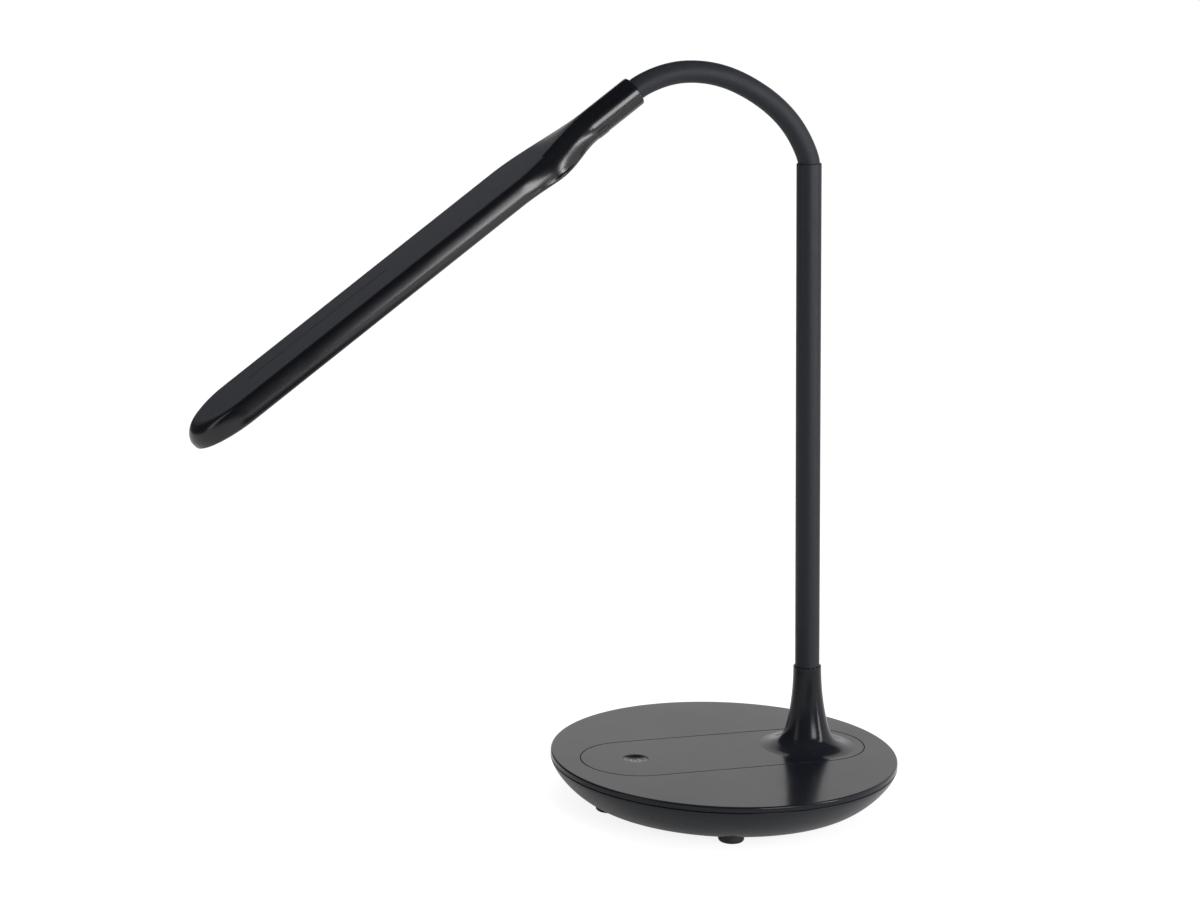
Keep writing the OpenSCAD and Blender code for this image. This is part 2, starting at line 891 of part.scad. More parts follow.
module bar_bezel() {
    color([0.06, 0.062, 0.068])
    on_bar()
    difference() {
        intersection() {
            union() {
                bar_body();
                // raised end beside the clamp cover
                translate([-clamp_l - 6, 0, 0])
                    rotate([0, 90, 0])
                        cylinder(r = mouth_r + 0.5, h = 5.8);
            }
            half_space(false, bar_seam_z);
        }
        mouth_bores();
        // window of the diffuser
        plate_between(bottom_z - 2, 0)
            translate([-(diff_x0 + diff_x1) / 2, 0])
                round_ended(diff_x1 - diff_x0, diff_w);
        // countersunk screw holes
        bezel_screw_places() {
            translate([0, 0, bottom_z - 3])
                cylinder(d = 2.5, h = 6, $fn = 32);
            translate([0, 0, bottom_z - 3])
                cylinder(d = 4.4, h = 3.6, $fn = 32);
        }
    }
}

module diffuser() {
    color([0.92, 0.92, 0.9])
    on_bar() {
        plate_between(bottom_z + 0.3, bar_seam_z + 0.5)
            translate([-(diff_x0 + diff_x1) / 2, 0])
                round_ended(diff_x1 - diff_x0 - 0.3, diff_w - 0.3);
        plate_between(bar_seam_z + 0.05, bar_seam_z + 1.1)
            translate([-(diff_x0 + diff_x1) / 2, 0])
                round_ended(diff_x1 - diff_x0 + 1.6, diff_w + 3);
    }
}

module led_board() {
    color([0.9, 0.9, 0.9])
    on_bar()
    difference() {
        translate([-diff_x1 + led_end / 2, -led_board_w / 2, led_board_z])
            cube([diff_x1 - diff_x0 - led_end, led_board_w, led_board_t]);
        spreader_screw_places()
            cylinder(d = 2.7, h = 5, $fn = 32);
    }
}

module leds() {
    pitch = (diff_x1 - diff_x0 - 2 * led_end) / (led_n - 1);
    color([0.95, 0.85, 0.4])
    on_bar()
    for (i = [0 : led_n - 1], s = [-1, 1])
        translate([-diff_x0 - led_end - i * pitch - led_l / 2,
                   s * led_row_y - led_w / 2, led_board_z - led_h])
            cube([led_l, led_w, led_h]);
}

module heat_spreader() {
    color([0.75, 0.76, 0.78])
    on_bar()
    difference() {
        translate([-diff_x1 + 4, -spreader_w / 2, spreader_z])
            cube([diff_x1 - diff_x0 - 8, spreader_w, spreader_t]);
        spreader_screw_places()
            cylinder(d = 2.7, h = 5, $fn = 32);
    }
}

module spreader_screws() {
    color([0.7, 0.7, 0.72])
    on_bar()
    spreader_screw_places()
        translate([0, 0, led_board_z])
            pan_screw(2.2, 4.3, 4.2, 1.2);
}

module clamp_cover() {
    color([0.06, 0.062, 0.068])
    on_bar()
    difference() {
        intersection() {
            mouth_round();
            half_space(false, bar_seam_z - 0.05);
            translate([-clamp_l, -20, -20])
                cube([clamp_l + 5, 40, 40]);
        }
        mouth_bores();
        clamp_screw_place() {
            translate([0, 0, -12])
                cylinder(d = 2.5, h = 12, $fn = 32);
            translate([0, 0, -12])
                cylinder(d = 4.3, h = 6.4, $fn = 32);
        }
    }
}

module clamp_screw() {
    color([0.6, 0.6, 0.62])
    on_bar()
    clamp_screw_place()
        translate([0, 0, -5.6])
            pan_screw(2, 11, 4, 1);
}

module bezel_screws() {
    color([0.6, 0.6, 0.62])
    on_bar()
    bezel_screw_places()
        translate([0, 0, bottom_z + 0.6])
            pan_screw(2.2, 6, 4.1, 0.55);
}

module bar_lead() {
    color([0.1, 0.1, 0.1])
    on_bar()
    lead([[-tip_in, bar_lead_y, 0], [-58, bar_lead_y, 0],
          [-diff_x0 - 5.9, bar_lead_y, 0.75]], 1, [0, 1, 0]);
}

base_bowl();
base_cover();
control_panel();
touch_mark();
touch_board();
control_board();
board_parts();
board_standoffs();
board_screws();
ballast_plate();
ballast_screws();
post_socket();
socket_screws();
set_screw();
cover_screws();
panel_screws();
feet();
power_jack();
jack_pin();
jack_lead();
lamp_lead();
post_tube();
neck_root();
neck_link(1);  // neck_link_01
neck_link(2);  // neck_link_02
neck_link(3);  // neck_link_03
neck_link(4);  // neck_link_04
neck_link(5);  // neck_link_05
neck_link(6);  // neck_link_06
neck_link(7);  // neck_link_07
neck_link(8);  // neck_link_08
neck_link(9);  // neck_link_09
neck_link(10);  // neck_link_10
neck_link(11);  // neck_link_11
neck_tip();
bar_shell();
bar_bezel();
diffuser();
led_board();
leds();
heat_spreader();
spreader_screws();
clamp_cover();
clamp_screw();
bezel_screws();
bar_lead();
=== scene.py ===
"""Looks of a gooseneck desk lamp: a round touch base, a leaning post, a flexible neck and a slim light bar.

Every piece is built in millimetres in the frame of the thing it belongs to (base, post or light bar) and is
then put in its place in metres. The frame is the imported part, with its origin on the desk under the base.
"""
import json
import math
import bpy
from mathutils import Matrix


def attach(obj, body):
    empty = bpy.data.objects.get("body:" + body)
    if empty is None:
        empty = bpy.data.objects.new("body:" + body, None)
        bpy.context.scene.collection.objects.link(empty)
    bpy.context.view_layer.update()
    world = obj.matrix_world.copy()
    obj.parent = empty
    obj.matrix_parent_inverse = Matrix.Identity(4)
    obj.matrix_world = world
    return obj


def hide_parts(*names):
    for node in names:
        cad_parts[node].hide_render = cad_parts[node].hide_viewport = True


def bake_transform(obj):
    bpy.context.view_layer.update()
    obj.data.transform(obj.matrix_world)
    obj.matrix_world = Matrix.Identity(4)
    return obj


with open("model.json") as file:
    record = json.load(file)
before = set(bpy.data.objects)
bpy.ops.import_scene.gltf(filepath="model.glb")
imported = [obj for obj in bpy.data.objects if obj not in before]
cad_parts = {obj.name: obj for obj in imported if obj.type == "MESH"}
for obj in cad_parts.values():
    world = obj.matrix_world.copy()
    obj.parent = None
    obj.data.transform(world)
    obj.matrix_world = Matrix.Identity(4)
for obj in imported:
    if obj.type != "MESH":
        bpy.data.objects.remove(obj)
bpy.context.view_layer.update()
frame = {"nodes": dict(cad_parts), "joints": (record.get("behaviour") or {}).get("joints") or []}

from types import SimpleNamespace

import bmesh
import bpy
from mathutils import Matrix, Vector

bl_info = {
    "name": "Gooseneck desk lamp",
    "version": (1, 0, 0),
    "blender": (4, 5, 0),
    "location": "View3D > Sidebar > Desk Lamp",
    "description": "Builds the looks of a gooseneck desk lamp around its packed parts",
    "category": "Add Mesh",
}

MM = 0.001

# fixed places of the base, in millimetres and degrees
FIRST_FOOT = 180       # direction of the foot without a screw, under the light bar
BALLAST_R = 35         # circle of the three countersunk screws
INLET_UP = 9           # height of the power inlet above the underside

# fixed places of the light bar, with x the distance from its mouth and z the height over its axis
SEAM_Z = -2.8          # seam between the upper shell and the lower frame
TOP_Z = 6.6            # flat top at its crease
FRAME_Z = -4.1         # seats of the lower frame's screws
CLAMP_X, CLAMP_Z = -17.4, -5.6
MOUTH_R, NECK_R, LIP_R = 7.25, 7.15, 7.5
BORE_R, LEAD_R = 5.28, 4.2
CREASE_ANGLE = 12      # place of the crease on the round neck, in degrees from its top
TOP_TURN, SIDE_TURN, LOW_TURN = (24, 50), (26, 32), (38, 40)   # start and length of each part's widening


# ------------------------------------------------------------------ values

def linear(code):
    """Linear colour of an sRGB hex code."""
    parts = [int(code[i:i + 2], 16) / 255 for i in (1, 3, 5)]
    return [c / 12.92 if c <= 0.04045 else ((c + 0.055) / 1.055) ** 2.4 for c in parts]


def number(name, default, description, **more):
    return bpy.props.FloatProperty(name=name, description=description, default=default, min=0.0, **more)


def length(name, mm, description):
    return number(name, mm * MM, description, precision=5, unit="LENGTH")


def degrees(name, value, description):
    return number(name, math.radians(value), description, unit="ROTATION")


def tint(name, code, description):
    return bpy.props.FloatVectorProperty(name=name, description=description, default=linear(code),
                                         size=3, min=0.0, max=1.0, subtype="COLOR")


class BaseSizes(bpy.types.PropertyGroup):
    """Sizes of the round base and its feet"""
    diameter: length("Diameter", 170, "Outer diameter of the base")
    height: length("Height", 25, "Height of the flat top above the desk")
    rim: length("Rim", 2.75, "Height of the top cover's rim above the seam")
    underside: length("Underside", 133, "Diameter of the flat underside")
    wall: length("Wall", 2.4, "Wall thickness of the lower housing")
    foot_gap: length("Foot gap", 4.2, "Gap between the desk and the underside")
    foot: length("Foot", 12.4, "Diameter of each foot")
    foot_ring: length("Foot ring", 119, "Diameter of the circle that the feet stand on")
    edge: length("Rim edge", 0.9, "Radius of the top cover's outer edge")
    feet: bpy.props.IntProperty(name="Feet", description="Number of feet", default=5, min=3)


class PanelSizes(bpy.types.PropertyGroup):
    """Sizes of the control panel, its collar and its touch mark"""
    length: length("Length", 145.7, "Overall length of the round-ended panel")
    width: length("Width", 53.2, "Width of the panel")
    thick: length("Thickness", 2.3, "Thickness of the panel")
    gap: length("Groove", 0.4, "Width of the groove around the panel")
    touch: length("Touch mark", 12.3, "Diameter of the dished touch mark")
    collar: length("Collar height", 41, "Height of the trumpet-shaped collar")
    collar_foot: length("Collar foot", 22.5, "Radius at which the collar runs out into the panel")


class PostSizes(bpy.types.PropertyGroup):
    """Sizes of the post and the flexible neck"""
    diameter: length("Post diameter", 12, "Outer diameter of the post")
    wall: length("Post wall", 0.7, "Wall thickness of the post's tube")
    length: length("Post length", 288.8, "Length of the post above the top of the base")
    x: length("Post position", 44.5, "Distance of the post's foot from the middle of the base")
    lean: degrees("Lean", 2.5, "Lean of the post towards the light bar")
    neck: length("Neck diameter", 10.4, "Diameter of the flexible neck")


class BarSizes(bpy.types.PropertyGroup):
    """Sizes of the light bar"""
    length: length("Length", 258, "Length from the mouth to the tip")
    width: length("Width", 41, "Greatest width")
    top: length("Top width", 34.2, "Width of the flat top")
    tip: length("Tip", 26, "Length of the rounded tip")
    groove: length("Groove", 80, "Length of the groove in the flat top")
    groove_from: length("Groove start", 142, "Distance of the groove from the mouth")
    frame: length("Frame", 5, "Width of the frame beside the diffuser")
    pitch: degrees("Pitch", 37.3, "Slope of the light bar as it stands")


class LampColours(bpy.types.PropertyGroup):
    """Colours of the surfaces that show"""
    top: tint("Base top", "#14151A", "Polished top of the base and its panel")
    side: tint("Base side", "#14161B", "Curved side of the base")
    gloss: tint("Gloss black", "#090A0F", "Touch mark and sides of the light bar")
    bar_top: tint("Bar top", "#323338", "Matt flat top of the light bar")
    post: tint("Post", "#1A1C21", "Paint of the post")
    sleeve: tint("Sleeve", "#1C1E24", "Sleeve of the flexible neck")
    foot: tint("Foot", "#131314", "Rubber of the feet")
    mark: tint("Mark", "#8C8F94", "Printed sign on the touch mark")
    diffuser: tint("Diffuser", "#EFEEE9", "Opal strip under the light bar")


class StudioSettings(bpy.types.PropertyGroup):
    """Camera and light"""
    lens: number("Lens", 84.08, "Focal length", unit="CAMERA")
    room: number("Room light", 0.7, "Strength of the light from all round")
    bounce: number("Floor", 0.45, "How much light the floor gives back", max=1.0)
    right: number("Right softbox", 9.0, "Power of the right softbox", unit="POWER")
    left: number("Left softbox", 2.0, "Power of the left softbox", unit="POWER")
    front: number("Front softbox", 9.0, "Power of the small softbox in front", unit="POWER")
    above: number("Light above", 6.0, "Power of the soft light above", unit="POWER")


def sizes(name):
    """Sizes of one of the lamp's groups in millimetres, and its angles in degrees."""
    group = getattr(bpy.context.scene, "lamp_" + name)
    found = SimpleNamespace()
    for key, prop in group.bl_rna.properties.items():
        if prop.type in {"FLOAT", "INT"}:
            value = getattr(group, key)
            unit = prop.unit if prop.type == "FLOAT" else ""
            setattr(found, key, value / MM if unit == "LENGTH"
                    else math.degrees(value) if unit == "ROTATION" else value)
    return found


# ---------------------------------------------------------------- mesh kit

def ease(f):
    f = min(1.0, max(0.0, f))
    return f * f * (3 - 2 * f)


def mix(a, b, f):
    return a + (b - a) * f


def rounded(points, steps=6):
    """A line of (x, y, radius) corners with each corner turned into an arc."""
    out = []
    for i, corner in enumerate(points):
        p = Vector(corner[:2])
        radius = corner[2] if len(corner) > 2 else 0
        if radius == 0 or i in (0, len(points) - 1):
            out.append(p)
            continue
        a = (Vector(points[i - 1][:2]) - p).normalized()
        b = (Vector(points[i + 1][:2]) - p).normalized()
        half = a.angle(b) / 2
        middle = p + (a + b).normalized() * radius / math.sin(half)
        u, v = p + a * radius / math.tan(half) - middle, p + b * radius / math.tan(half) - middle
        turn = math.pi - 2 * half
        for k in range(steps + 1):
            f = k / steps
            out.append(middle + (u * math.sin((1 - f) * turn) + v * math.sin(f * turn)) / math.sin(turn))
    return out


def ring(r, z, n, x=0.0):
    """Circle of n points about (x, 0) at height z."""
    return [Vector((x + r * math.cos(math.tau * i / n), r * math.sin(math.tau * i / n), z)) for i in range(n)]


def oval(long, r, z, n, x=0.0):
    """Round-ended outline: half circles of radius r about (x - long, 0) and (x + long, 0)."""
    points = []
    for side in (1, -1):
        for i in range(n + 1):
            a = math.pi * (i / n - 0.5)
            points.append(Vector((x + side * (long + r * math.cos(a)), side * r * math.sin(a), z)))
    return points


def stack(bm, loops):
    """Walls through a row of closed loops of equal length; returns the loops' vertices."""
    rows = [[bm.verts.new(p) for p in loop] for loop in loops]
    for a, b in zip(rows, rows[1:]):
        for i in range(len(a)):
            j = (i + 1) % len(a)
            bm.faces.new((a[i], a[j], b[j], b[i]))
    return rows


def flat(bm, *loops):
    """Flat face bounded by closed loops of vertices: an outline and any holes in it."""
    edges = []
    for loop in loops:
        for i in range(len(loop)):
            pair = (loop[i], loop[(i + 1) % len(loop)])
            edges.append(bm.edges.get(pair) or bm.edges.new(pair))
    bmesh.ops.triangle_fill(bm, use_beauty=True, use_dissolve=False, edges=edges)


def closed(loops, place=Matrix()):
    """Solid through a row of closed loops, flat at both ends."""
    bm = bmesh.new()
    rows = stack(bm, loops)
    flat(bm, rows[0])
    flat(bm, rows[-1])
    bmesh.ops.transform(bm, matrix=place, verts=bm.verts)
    return bm


def turned(profile, n=96, place=Matrix()):
    """Mesh turned from a closed or axis-to-axis profile of (radius, height) points."""
    bm = bmesh.new()
    loops = [ring(r, z, n) for r, z in profile]
    if profile[0][0] > 0:
        loops.append([p.copy() for p in loops[0]])
    stack(bm, loops)
    bmesh.ops.transform(bm, matrix=place, verts=bm.verts)
    return bm


def prism(outline, z0, z1, place=Matrix()):
    """Upright solid over a flat outline of points."""
    return closed([[Vector((p[0], p[1], z)) for p in outline] for z in (z0, z1)], place)


def block(x0, x1, y0, y1, z0, z1):
    return prism([(x0, y0), (x1, y0), (x1, y1), (x0, y1)], z0, z1)


def drill(steps, place, n=48):
    """Stepped round cutter from (radius, from, to) steps along its axis."""
    profile = [(0, steps[0][1])]
    for r, start, end in steps:
        profile += [(r, start), (r, end)]
    return turned(profile + [(0, steps[-1][2])], n, place)


def linked(name, data):
    """Object in the scene."""
    obj = bpy.data.objects.new(name, data)
    bpy.context.scene.collection.objects.link(obj)
    return obj


def solid(name, bm):
    """Closed object in millimetres from a mesh in the making."""
    bmesh.ops.remove_doubles(bm, verts=bm.verts, dist=0.0005)
    bmesh.ops.dissolve_degenerate(bm, edges=bm.edges, dist=0.0002)
    bmesh.ops.recalc_face_normals(bm, faces=bm.faces)
    mesh = bpy.data.meshes.new(name)
    bm.to_mesh(mesh)
    bm.free()
    return linked(name, mesh)


def taken(obj):
    """Mesh in the making from an object, which goes away."""
    bm, mesh = bmesh.new(), obj.data
    bm.from_mesh(mesh)
    bpy.data.objects.remove(obj)
    bpy.data.meshes.remove(mesh)
    return bm


def gather(bm, parts):
    """Adds other meshes in the making to one."""
    for part in parts:
        mesh = bpy.data.meshes.new("part")
        part.to_mesh(mesh)
        part.free()
        bm.from_mesh(mesh)
        bpy.data.meshes.remove(mesh)
    return bm


def bake(obj):
    """Turns an object's modifiers into its plain mesh."""
    graph = bpy.context.evaluated_depsgraph_get()
    mesh = bpy.data.meshes.new_from_object(obj.evaluated_get(graph), preserve_all_data_layers=True,
                                           depsgraph=graph)
    old = obj.data
    obj.modifiers.clear()
    obj.data = mesh
    bpy.data.meshes.remove(old)
    return obj


def carve(obj, tools, operation="DIFFERENCE"):
    """Cuts tool meshes out of an object, or joins or crosses it with them, and clears the slivers left."""
    for bm in tools:
        bmesh.ops.recalc_face_normals(bm, faces=bm.faces)
    tool = solid("tool", gather(bmesh.new(), tools))
    mod = obj.modifiers.new("Carve", "BOOLEAN")
    mod.operation, mod.solver, mod.object, mod.use_self = operation, "EXACT", tool, len(tools) > 1
    bpy.context.view_layer.update()
    bake(obj)
    taken(tool).free()
    bm = bmesh.new()
    bm.from_mesh(obj.data)
    bmesh.ops.remove_doubles(bm, verts=bm.verts, dist=0.0003)
    bmesh.ops.dissolve_degenerate(bm, edges=bm.edges, dist=0.0003)
    bm.to_mesh(obj.data)
    bm.free()
    return obj


def piece(obj, place, body, material, replaces=(), sharp=32.0):
    """Puts a finished shape in its place as a piece of the lamp that rides a body."""
    mesh = obj.data
    mesh.transform(place)
    bm = bmesh.new()
    bm.from_mesh(mesh)
    bmesh.ops.recalc_face_normals(bm, faces=bm.faces)
    bm.to_mesh(mesh)
    loose = sum(1 for e in bm.edges if len(e.link_faces) != 2)
    bm.free()
    mesh.shade_smooth()
    mesh.set_sharp_from_angle(angle=math.radians(sharp))
    mod = obj.modifiers.new("Weighted Normal", "WEIGHTED_NORMAL")
    mod.mode, mod.weight, mod.keep_sharp = "FACE_AREA", 50, True
    bpy.context.view_layer.update()
    bake(obj)
    obj.data.materials.clear()
    obj.data.materials.append(material)
    print("piece", obj.name, len(obj.data.vertices), "points", len(obj.data.polygons), "faces",
          "OPEN EDGES %d" % loose if loose else "")
    if body:
        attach(obj, body)
    if replaces:
        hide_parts(*replaces)


# ------------------------------------------------------------------ places

def moved(x=0.0, y=0.0, z=0.0):
    return Matrix.Translation((x, y, z))


def turn(axis, angle):
    return Matrix.Rotation(math.radians(angle), 4, axis)


def around(angle, r):
    return turn("Z", angle) @ moved(r)


def ring_angles(first, count):
    return [first + 360 / count * i for i in range(count)]


def in_base():
    return Matrix.Scale(MM, 4)


def in_post():
    s = sizes("post")
    return in_base() @ moved(s.x, 0, sizes("base").height) @ turn("Y", -s.lean)


def in_bar():
    pitch, inside = sizes("bar").pitch, 4   # the last pivot lies this far inside the mouth
    a = math.radians(pitch)
    mouth = pivots()[-1] - inside * Vector((math.cos(a), 0, math.sin(a)))
    return in_base() @ Matrix.Translation(mouth) @ turn("Y", -pitch)


def pivots():
    """Pivots of the neck in millimetres, from the post to the light bar."""
    return [Vector(j["pos_m"]) / MM for j in sorted(frame["joints"], key=lambda j: j["name"][-2:])]


def softened(points):
    """Even bend through almost the same points, for the sleeve; the first and the last stay."""
    path = [p.copy() for p in points]
    for step in (0.5, -0.52) * 3:
        moves = [((a + c) / 2 - b) * step for a, b, c in zip(path, path[1:], path[2:])]
        for p, move in zip(path[1:-1], moves):
            p += move
    return path


# --------------------------------------------------------------- materials

def add(tree, kind, inputs=None, **settings):
    """Adds a node with its settings, and sets or links its inputs."""
    node = tree.nodes.new(kind)
    for key, value in settings.items():
        setattr(node, key, value)
    for key, value in (inputs or {}).items():
        socket = node.inputs[key]
        if isinstance(value, bpy.types.NodeSocket):
            tree.links.new(value, socket)
        else:
            socket.default_value = value
    return node


def blank(data):
    """Emptied node tree of a material or world."""
    data.use_nodes = True
    data.node_tree.nodes.clear()
    return data.node_tree


NOISE_SPAN = {"From Min": 0.3, "From Max": 0.7}   # where nearly all of a noise's values lie


def finish(name, colour, rough, metallic=0.0, specular=0.5, ior=1.5, grain=0.3, bump=0.004, spread=0.12,
           cloud=18.0, rough_spread=0.05, turning=None):
    """Moulded, painted or metal surface. grain is the size of its finest marks in mm, bump their depth in
    mm, cloud the size of its soft patches in mm, and spread how far they change the colour."""
    material = bpy.data.materials.new(name)
    tree = blank(material)
    where = add(tree, "ShaderNodeTexCoord").outputs["Object"]
    if turning:
        where = add(tree, "ShaderNodeMapping", {"Vector": where, "Scale": turning}).outputs["Vector"]
    fine = add(tree, "ShaderNodeTexNoise", {"Vector": where, "Scale": 1 / (grain * MM), "Detail": 2.0,
                                            "Roughness": 0.6}).outputs["Fac"]
    soft = add(tree, "ShaderNodeTexNoise", {"Vector": where, "Scale": 1 / (cloud * MM),
                                            "Detail": 3.0}).outputs["Fac"]
    low, high = ([min(1, c * f) for c in colour_of(colour)] + [1] for f in (1 - spread, 1 + spread))
    shade = add(tree, "ShaderNodeMix", {"Factor": soft, 6: low, 7: high}, data_type="RGBA")
    dull = add(tree, "ShaderNodeMapRange",
               {"Value": soft, **NOISE_SPAN, "To Min": max(0, rough - rough_spread),
                "To Max": min(1, rough + rough_spread)})
    relief = add(tree, "ShaderNodeBump", {"Height": fine, "Distance": bump * MM, "Strength": 1.0})
    skin = add(tree, "ShaderNodeBsdfPrincipled",
               {"Base Color": shade.outputs[2], "Roughness": dull.outputs[0], "Normal": relief.outputs[0],
                "Metallic": metallic, "IOR": ior, "Specular IOR Level": specular})
    add(tree, "ShaderNodeOutputMaterial", {"Surface": skin.outputs["BSDF"]})
    return material


def bar_abs(name):
    """ABS from a mould that is matt over the flat top and polished along the sides."""
    material = bpy.data.materials.new(name)
    tree = blank(material)
    where = add(tree, "ShaderNodeTexCoord").outputs["Object"]
    mask = add(tree, "ShaderNodeAttribute", attribute_name="matt_top").outputs["Fac"]
    # sizes of the spark-eroded grain and of the soft patches, and the depth of the grain
    grit, cloud, depth = 0.35 * MM, 25 * MM, 0.004 * MM
    fine, soft = (add(tree, "ShaderNodeTexNoise", {"Vector": where, "Scale": 1 / size,
                                                   "Detail": detail}).outputs["Fac"]
                  for size, detail in ((grit, 2.0), (cloud, 3.0)))
    grain = add(tree, "ShaderNodeMapRange", {"Value": fine, **NOISE_SPAN, "To Min": 0.85, "To Max": 1.15})
    shade = add(tree, "ShaderNodeVectorMath", {0: colour_of("bar_top"), "Scale": grain.outputs[0]},
                operation="SCALE")
    cloudy = add(tree, "ShaderNodeMapRange", {"Value": soft, **NOISE_SPAN, "To Min": 0.19, "To Max": 0.24})
    relief = add(tree, "ShaderNodeBump", {"Height": fine, "Distance": depth, "Strength": 1.0})
    polished = add(tree, "ShaderNodeBsdfPrincipled",
                   {"Base Color": colour_of("gloss") + [1], "Roughness": cloudy.outputs[0],
                    "Specular IOR Level": 0.45})
    eroded = add(tree, "ShaderNodeBsdfPrincipled",
                 {"Base Color": shade.outputs["Vector"], "Roughness": 0.62, "Normal": relief.outputs[0],
                  "Specular IOR Level": 0.1})
    skin = add(tree, "ShaderNodeMixShader", {0: mask, 1: polished.outputs[0], 2: eroded.outputs[0]})
    add(tree, "ShaderNodeOutputMaterial", {"Surface": skin.outputs[0]})
    return material


def colour_of(key):
    """Linear colour of a hex code or of one of the lamp's colours."""
    return linear(key) if key.startswith("#") else list(getattr(bpy.context.scene.lamp_colours, key))


MADE = {}
FINISHES = {
    # ABS polished in the mould: semi-gloss, so that it mirrors what stands close to it
    "polished ABS": dict(colour="top", rough=0.18, specular=0.19, grain=0.25, bump=0.0006, spread=0.05,
                         cloud=40),
    # ABS with the fine matt texture of a spark-eroded mould
    "moulded ABS": dict(colour="side", rough=0.28, specular=0.22, bump=0.0015, spread=0.06, cloud=30),
    # high-gloss ABS: deep black with clear reflections
    "gloss ABS": dict(colour="gloss", rough=0.2, specular=0.45, grain=1.5, bump=0.0006, spread=0.05, cloud=25,
                      rough_spread=0.02),
    # vulcanised rubber: dull, with a fine grain
    "nitrile rubber": dict(colour="foot", rough=0.55, grain=0.25),
    # thin matt paint on steel tube with a fine orange-peel
    "painted steel": dict(colour="post", rough=0.48, specular=0.25, grain=0.35, bump=0.003, spread=0.1,
                          cloud=9),
    # silicone sleeve: dull and slightly mottled, a little lighter than the post at grazing sight
    "silicone sleeve": dict(colour="sleeve", rough=0.56, specular=0.25, grain=0.45, bump=0.009, spread=0.22,
                            cloud=5),
    # opal polycarbonate that scatters the light of the LEDs
    "opal polycarbonate": dict(colour="diffuser", rough=0.35, ior=1.58, grain=0.6, bump=0.001, spread=0.02,
                               cloud=30),
    # ink of a printed sign
    "printed ink": dict(colour="mark", rough=0.4, grain=0.2, bump=0.001),
    # glossy solder mask over copper tracks, which show as patches
    "green solder mask": dict(colour="#1F5C3A", rough=0.3, grain=0.8, bump=0.01, spread=0.35, cloud=4),
    "white solder mask": dict(colour="#E9E9E4", rough=0.35, grain=0.8, bump=0.008, spread=0.05, cloud=6),
    # phosphor in clear silicone: a warm yellow
    "LED phosphor": dict(colour="#E9D273", rough=0.4, grain=0.2, spread=0.15, cloud=1.5),
    # unpolished moulded black plastic of connectors and chips: dull
    "moulded nylon": dict(colour="#1A1A1C", rough=0.5, grain=0.2, bump=0.006),
    # extruded soft vinyl: a half-dull black
    "PVC lead": dict(colour="#161617", rough=0.42, grain=0.5, cloud=6),
    # bright metals as turned, plated or rolled: clear to softly blurred reflections
    "turned brass": dict(colour="#C9A257", rough=0.3, metallic=1.0, grain=0.15, bump=0.002, cloud=3),
    "nickel plate": dict(colour="#CFCBC2", rough=0.15, metallic=1.0, bump=0.0006, cloud=4),
    "zinc-plated steel": dict(colour="#A9ABAF", rough=0.32, metallic=1.0, grain=0.2, bump=0.0015, cloud=2.5),
    # as-cast skin of grey iron: dark, rough and pitted
    "cast iron": dict(colour="#4B4C4E", rough=0.62, metallic=1.0, grain=0.9, bump=0.03, spread=0.2, cloud=7),
    # fine tool marks along the turning or the rolling, which stretch the reflections
    "machined aluminium": dict(colour="#BFC1C4", rough=0.28, metallic=1.0, grain=0.12, bump=0.0015,
                               turning=(1, 1, 12)),
    "rolled aluminium": dict(colour="#CACBCD", rough=0.34, metallic=1.0, bump=0.001, turning=(0.05, 1, 1)),
}


def surface(key):
    """The lamp's materials, each made the first time that a piece asks for it."""
    if key not in MADE:
        MADE[key] = finish(key, **FINISHES[key]) if key in FINISHES else bar_abs(key)
    return MADE[key]


# --------------------------------------------------------- geometry nodes

TREES = {}


def tree_with(name, **inputs):
    """A geometry tree that takes a geometry, the named inputs and a material, with only its ends in it."""
    tree = bpy.data.node_groups.new(name, "GeometryNodeTree")
    for label, kind in [("Geometry", "Geometry"), *inputs.items(), ("Material", "Material")]:
        tree.interface.new_socket(name=label, in_out="INPUT", socket_type="NodeSocket" + kind)
    tree.interface.new_socket(name="Geometry", in_out="OUTPUT", socket_type="NodeSocketGeometry")
    return tree, tree.nodes.new("NodeGroupInput").outputs


def painted(tree, given, geometry):
    """Ends a tree with its geometry made real and given its material."""
    real = add(tree, "GeometryNodeRealizeInstances", {"Geometry": geometry})
    paint = add(tree, "GeometryNodeSetMaterial", {"Geometry": real.outputs[0], "Material": given["Material"]})
    add(tree, "NodeGroupOutput", {"Geometry": paint.outputs[0]})
    return tree


def sleeve_tree():
    """A bent round sleeve between two points: it leaves both along the line to the bend's corner."""
    tree, given = tree_with("Bent sleeve", Start="Vector", Corner="Vector", End="Vector", Radius="Float",
                            Steps="Int", Sides="Int")
    handles = [add(tree, "ShaderNodeMix", {0: 2 / 3, 4: given[end], 5: given["Corner"]},
                   data_type="VECTOR").outputs[1] for end in ("Start", "End")]
    path = add(tree, "GeometryNodeCurvePrimitiveBezierSegment",
               {"Resolution": given["Steps"], "Start": given["Start"], "Start Handle": handles[0],
                "End Handle": handles[1], "End": given["End"]}, mode="POSITION")
    section = add(tree, "GeometryNodeCurvePrimitiveCircle",
                  {"Resolution": given["Sides"], "Radius": given["Radius"]})
    tube = add(tree, "GeometryNodeCurveToMesh",
               {"Curve": path.outputs[0], "Profile Curve": section.outputs[0], "Fill Caps": True})
    return painted(tree, given, tube.outputs[0])


def spread_out(tree, given, points, **turned_by):
    """Ends a tree with a copy of its piece on each point."""
    source = add(tree, "GeometryNodeObjectInfo", {"Object": given["Piece"]}, transform_space="ORIGINAL")
    spots = add(tree, "GeometryNodeInstanceOnPoints",
                {"Points": points, "Instance": source.outputs["Geometry"], **turned_by})
    return painted(tree, given, spots.outputs[0])


